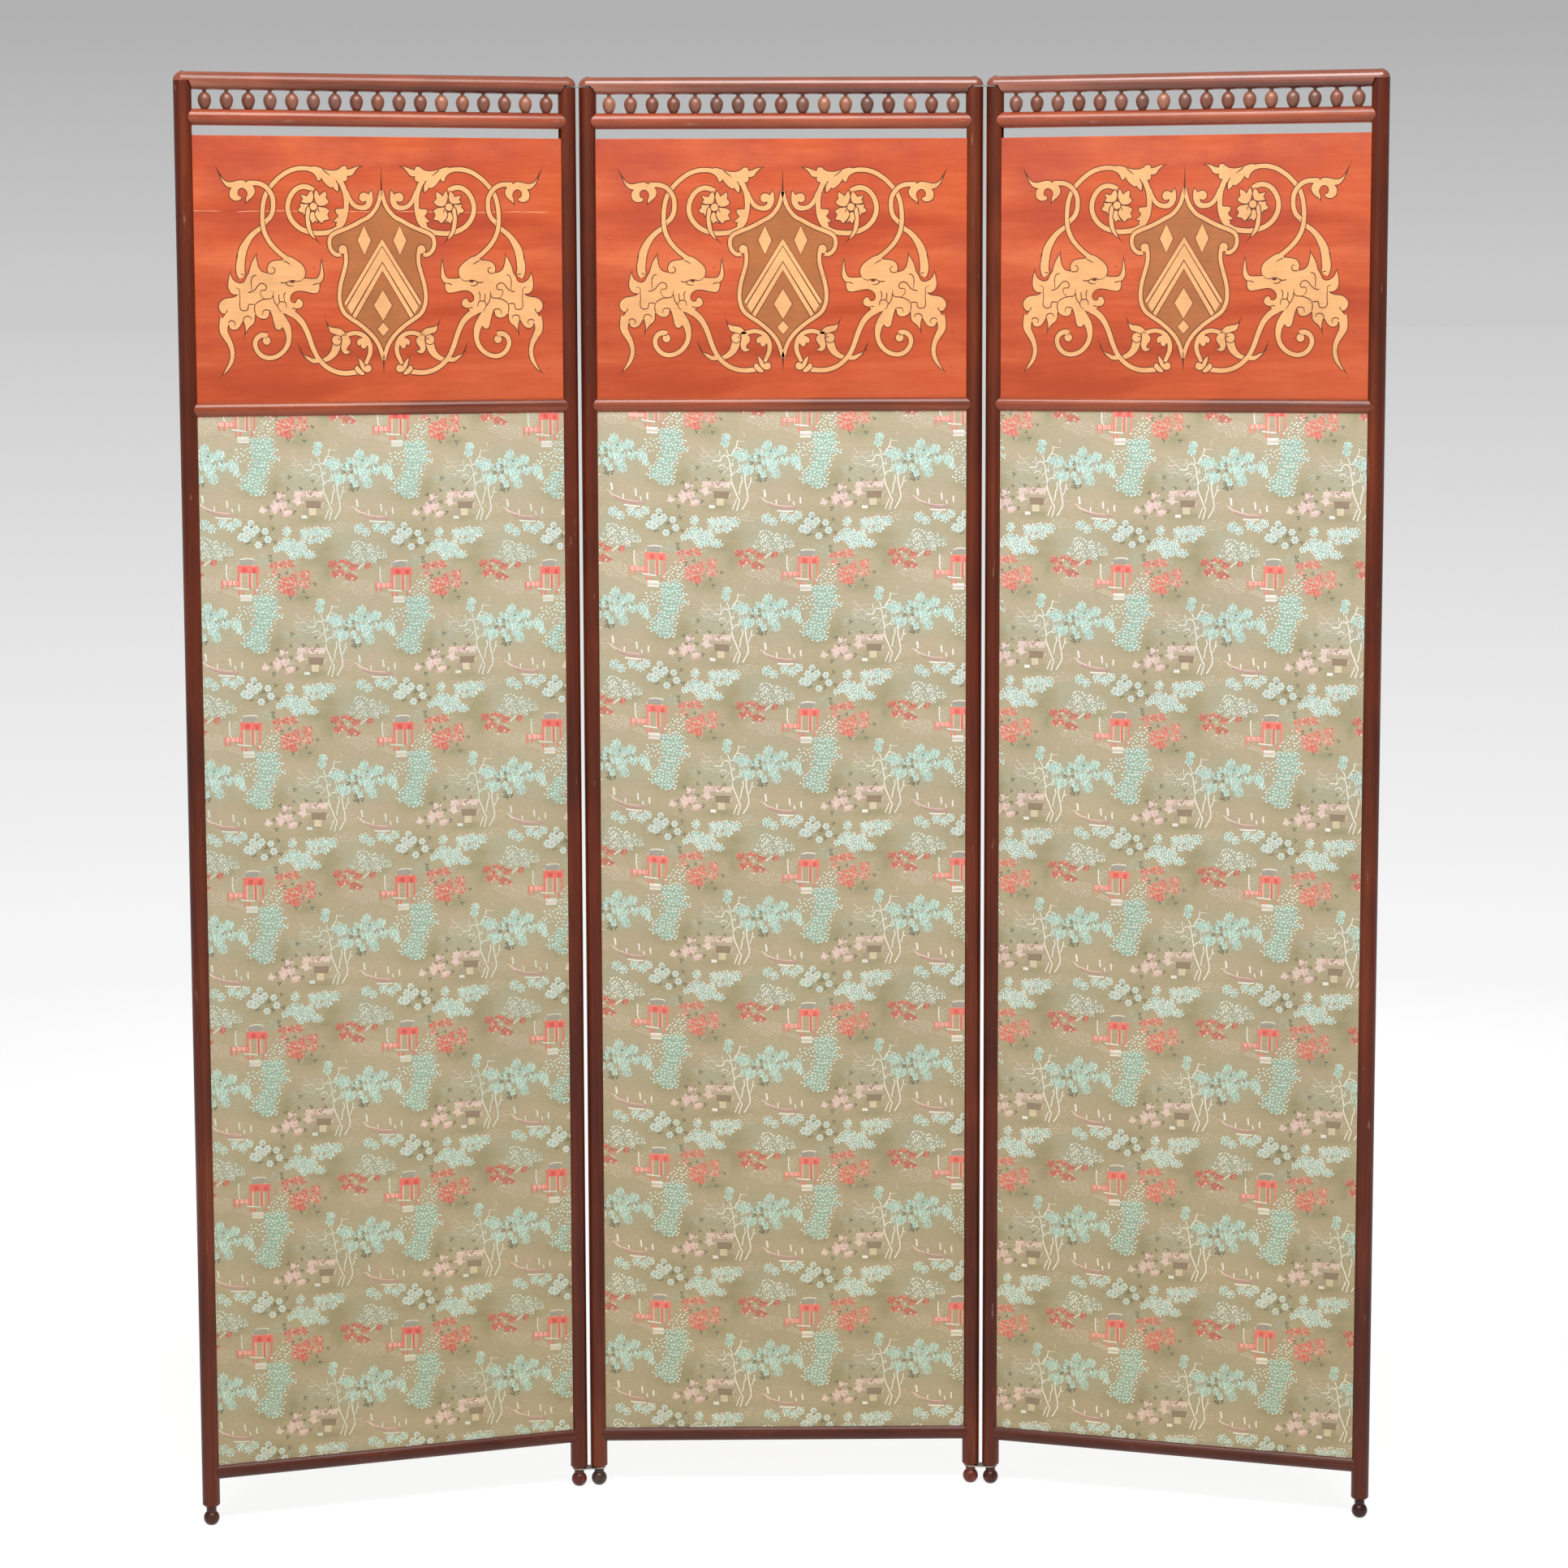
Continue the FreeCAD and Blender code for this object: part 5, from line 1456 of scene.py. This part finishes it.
def addEdgedOutline(art, outline, level, colour):
    outline = facingFront(outline)
    inner, outer = grown(outline, -inlay["under"]), grown(outline, inlay["edge"])
    addRim(art, inner, outer, level - inlay["lineDrop"], tone(*inlay["line"]))
    addOutline(art, outline, level, colour)


def addStrip(art, line, halves, level, colour):
    left = [(x + nx * half, z + nz * half) for (x, z, nx, nz), half in zip(line, halves)]
    right = [(x - nx * half, z - nz * half) for (x, z, nx, nz), half in zip(line, halves)]
    count = len(line)
    quads = [(count + i, count + i + 1, i + 1, i) for i in range(count - 1)]
    addPlate(art, left + right, quads, level, colour)


def addBand(art, points, halves, level, colour, edged=True):
    line = list(sideSteps(smoothLine(points, inlay["steps"])))
    last = len(halves) - 1
    widths = []
    for i in range(len(line)):
        place = i / (len(line) - 1) * last
        low = min(int(place), max(last - 1, 0))
        widths.append(halves[low] + (halves[min(low + 1, last)] - halves[low]) * (place - low))
    if edged:
        wider = [w + inlay["edge"] for w in widths]
        addStrip(art, line, wider, level - inlay["lineDrop"], tone(*inlay["line"]))
    addStrip(art, line, widths, level, colour)


def addPoint(art, half, foot, point, level):
    dx, dz = point[0] - foot[0], point[1] - foot[1]
    length = math.hypot(dx, dz)
    side = (-dz / length * half, dx / length * half)
    corners = [(foot[0] - side[0], foot[1] - side[1]), point, (foot[0] + side[0], foot[1] + side[1])]
    addOutline(art, facingFront(corners), level, tone(*inlay["line"]))


def flip(points, side):
    return [(inlay["axis"] + side * (p[0] - inlay["axis"]), *p[1:]) for p in points]


def shieldOutline():
    left = [spot for level, halves, points in shieldBands for spot in smoothLine(points, inlay["steps"])]
    return facingFront(left + flip(reversed(left[1:-1]), -1))


def drawSide(art, side):
    gold, dark, levels = tone(*inlay["gold"]), tone(*inlay["line"]), inlay["levels"]
    for half, foot, point in inlayPoints:
        addPoint(art, half, *flip((foot, point), side), levels["point"])
    for level, halves, points in inlayBands + shieldBands:
        addBand(art, flip(points, side), halves, level, gold)
    for level, points in inlayLeaves:
        addEdgedOutline(art, smoothLine(flip(points, side), inlay["steps"], True), level, gold)
    for level, x, z, radius in inlayBalls:
        addEdgedOutline(art, flip(ringPoints(x, z, radius, inlay["ballCorners"]), side), level, gold)
    half = inlay["vein"] / 2
    for points in inlayVeins:
        addBand(art, flip(points, side), (half, half, half / 2), levels["vein"], dark, False)
    addOutline(art, facingFront(flip(ringPoints(*inlay["eye"]), side)), levels["eye"], dark)


def drawInlay():
    art = newArt()
    gold, levels, axis = tone(*inlay["gold"]), inlay["levels"], inlay["axis"]
    addOutline(art, shieldOutline(), levels["shield"], tone(*inlay["shield"]))
    for half, foot, point in shieldSpikes:
        addPoint(art, half, foot, point, levels["spike"])
    for upper, lower, top, bottom in shieldStripes:
        left = [(axis, bottom), lower, upper, (axis, top)]
        addEdgedOutline(art, left + flip([upper, lower], -1), levels["stripe"], gold)
    for x, z, wide, tall in shieldLozenges:
        lozenge = [(x, z + tall), (x - wide, z), (x, z - tall), (x + wide, z)]
        addEdgedOutline(art, lozenge, levels["lozenge"], gold)
    for side in (1, -1):
        drawSide(art, side)
    return art


def inlayFinish():
    material, tree, shader = newFinish("inlaidScrolls")
    where = leafCoordinates(tree)
    paint = addNode(tree, "ShaderNodeAttribute", attribute_name="inlayColour").outputs["Color"]
    streaks, clouds = (addNoise(tree, where, *inlay[k]) for k in ("streaks", "clouds"))
    shade = addMath(tree, "ADD", addRange(tree, streaks, *inlay["streaked"]),
                    addRange(tree, clouds, *inlay["clouded"]))
    gloss = addRange(tree, clouds, *inlay["gloss"])
    setFinish(tree, shader, inlay, addShade(tree, paint, shade), gloss, streaks)
    return material


def layInlays():
    art, material = drawInlay(), inlayFinish()
    for key, leaf in leaves.items():
        low, high = leafBox(leaf, key + "_inlaid_board")
        foot = low.z + inlay["hidden"] * mm
        spots = [(x * mm, foot + z * mm) for x, z, height in art["points"]]
        fronts = [low.y - height * mm for x, z, height in art["points"]]
        places = [leaf["place"] @ Vector((x, front, z)) for (x, z), front in zip(spots, fronts)]
        mesh = bpy.data.meshes.new(key + "_board_inlay")
        mesh.from_pydata(places, [], art["under"] + art["over"])
        mapFlat(mesh, spots, low, high)
        paintPoints(mesh, "inlayColour", art["colours"])
        mesh.materials.append(material)
        piece = newObject(key + "_board_inlay", mesh)
        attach(piece, leaf["body"])
    print("inlay faces:", len(art["under"]) + len(art["over"]))


layInlays()
print("boards inlaid")
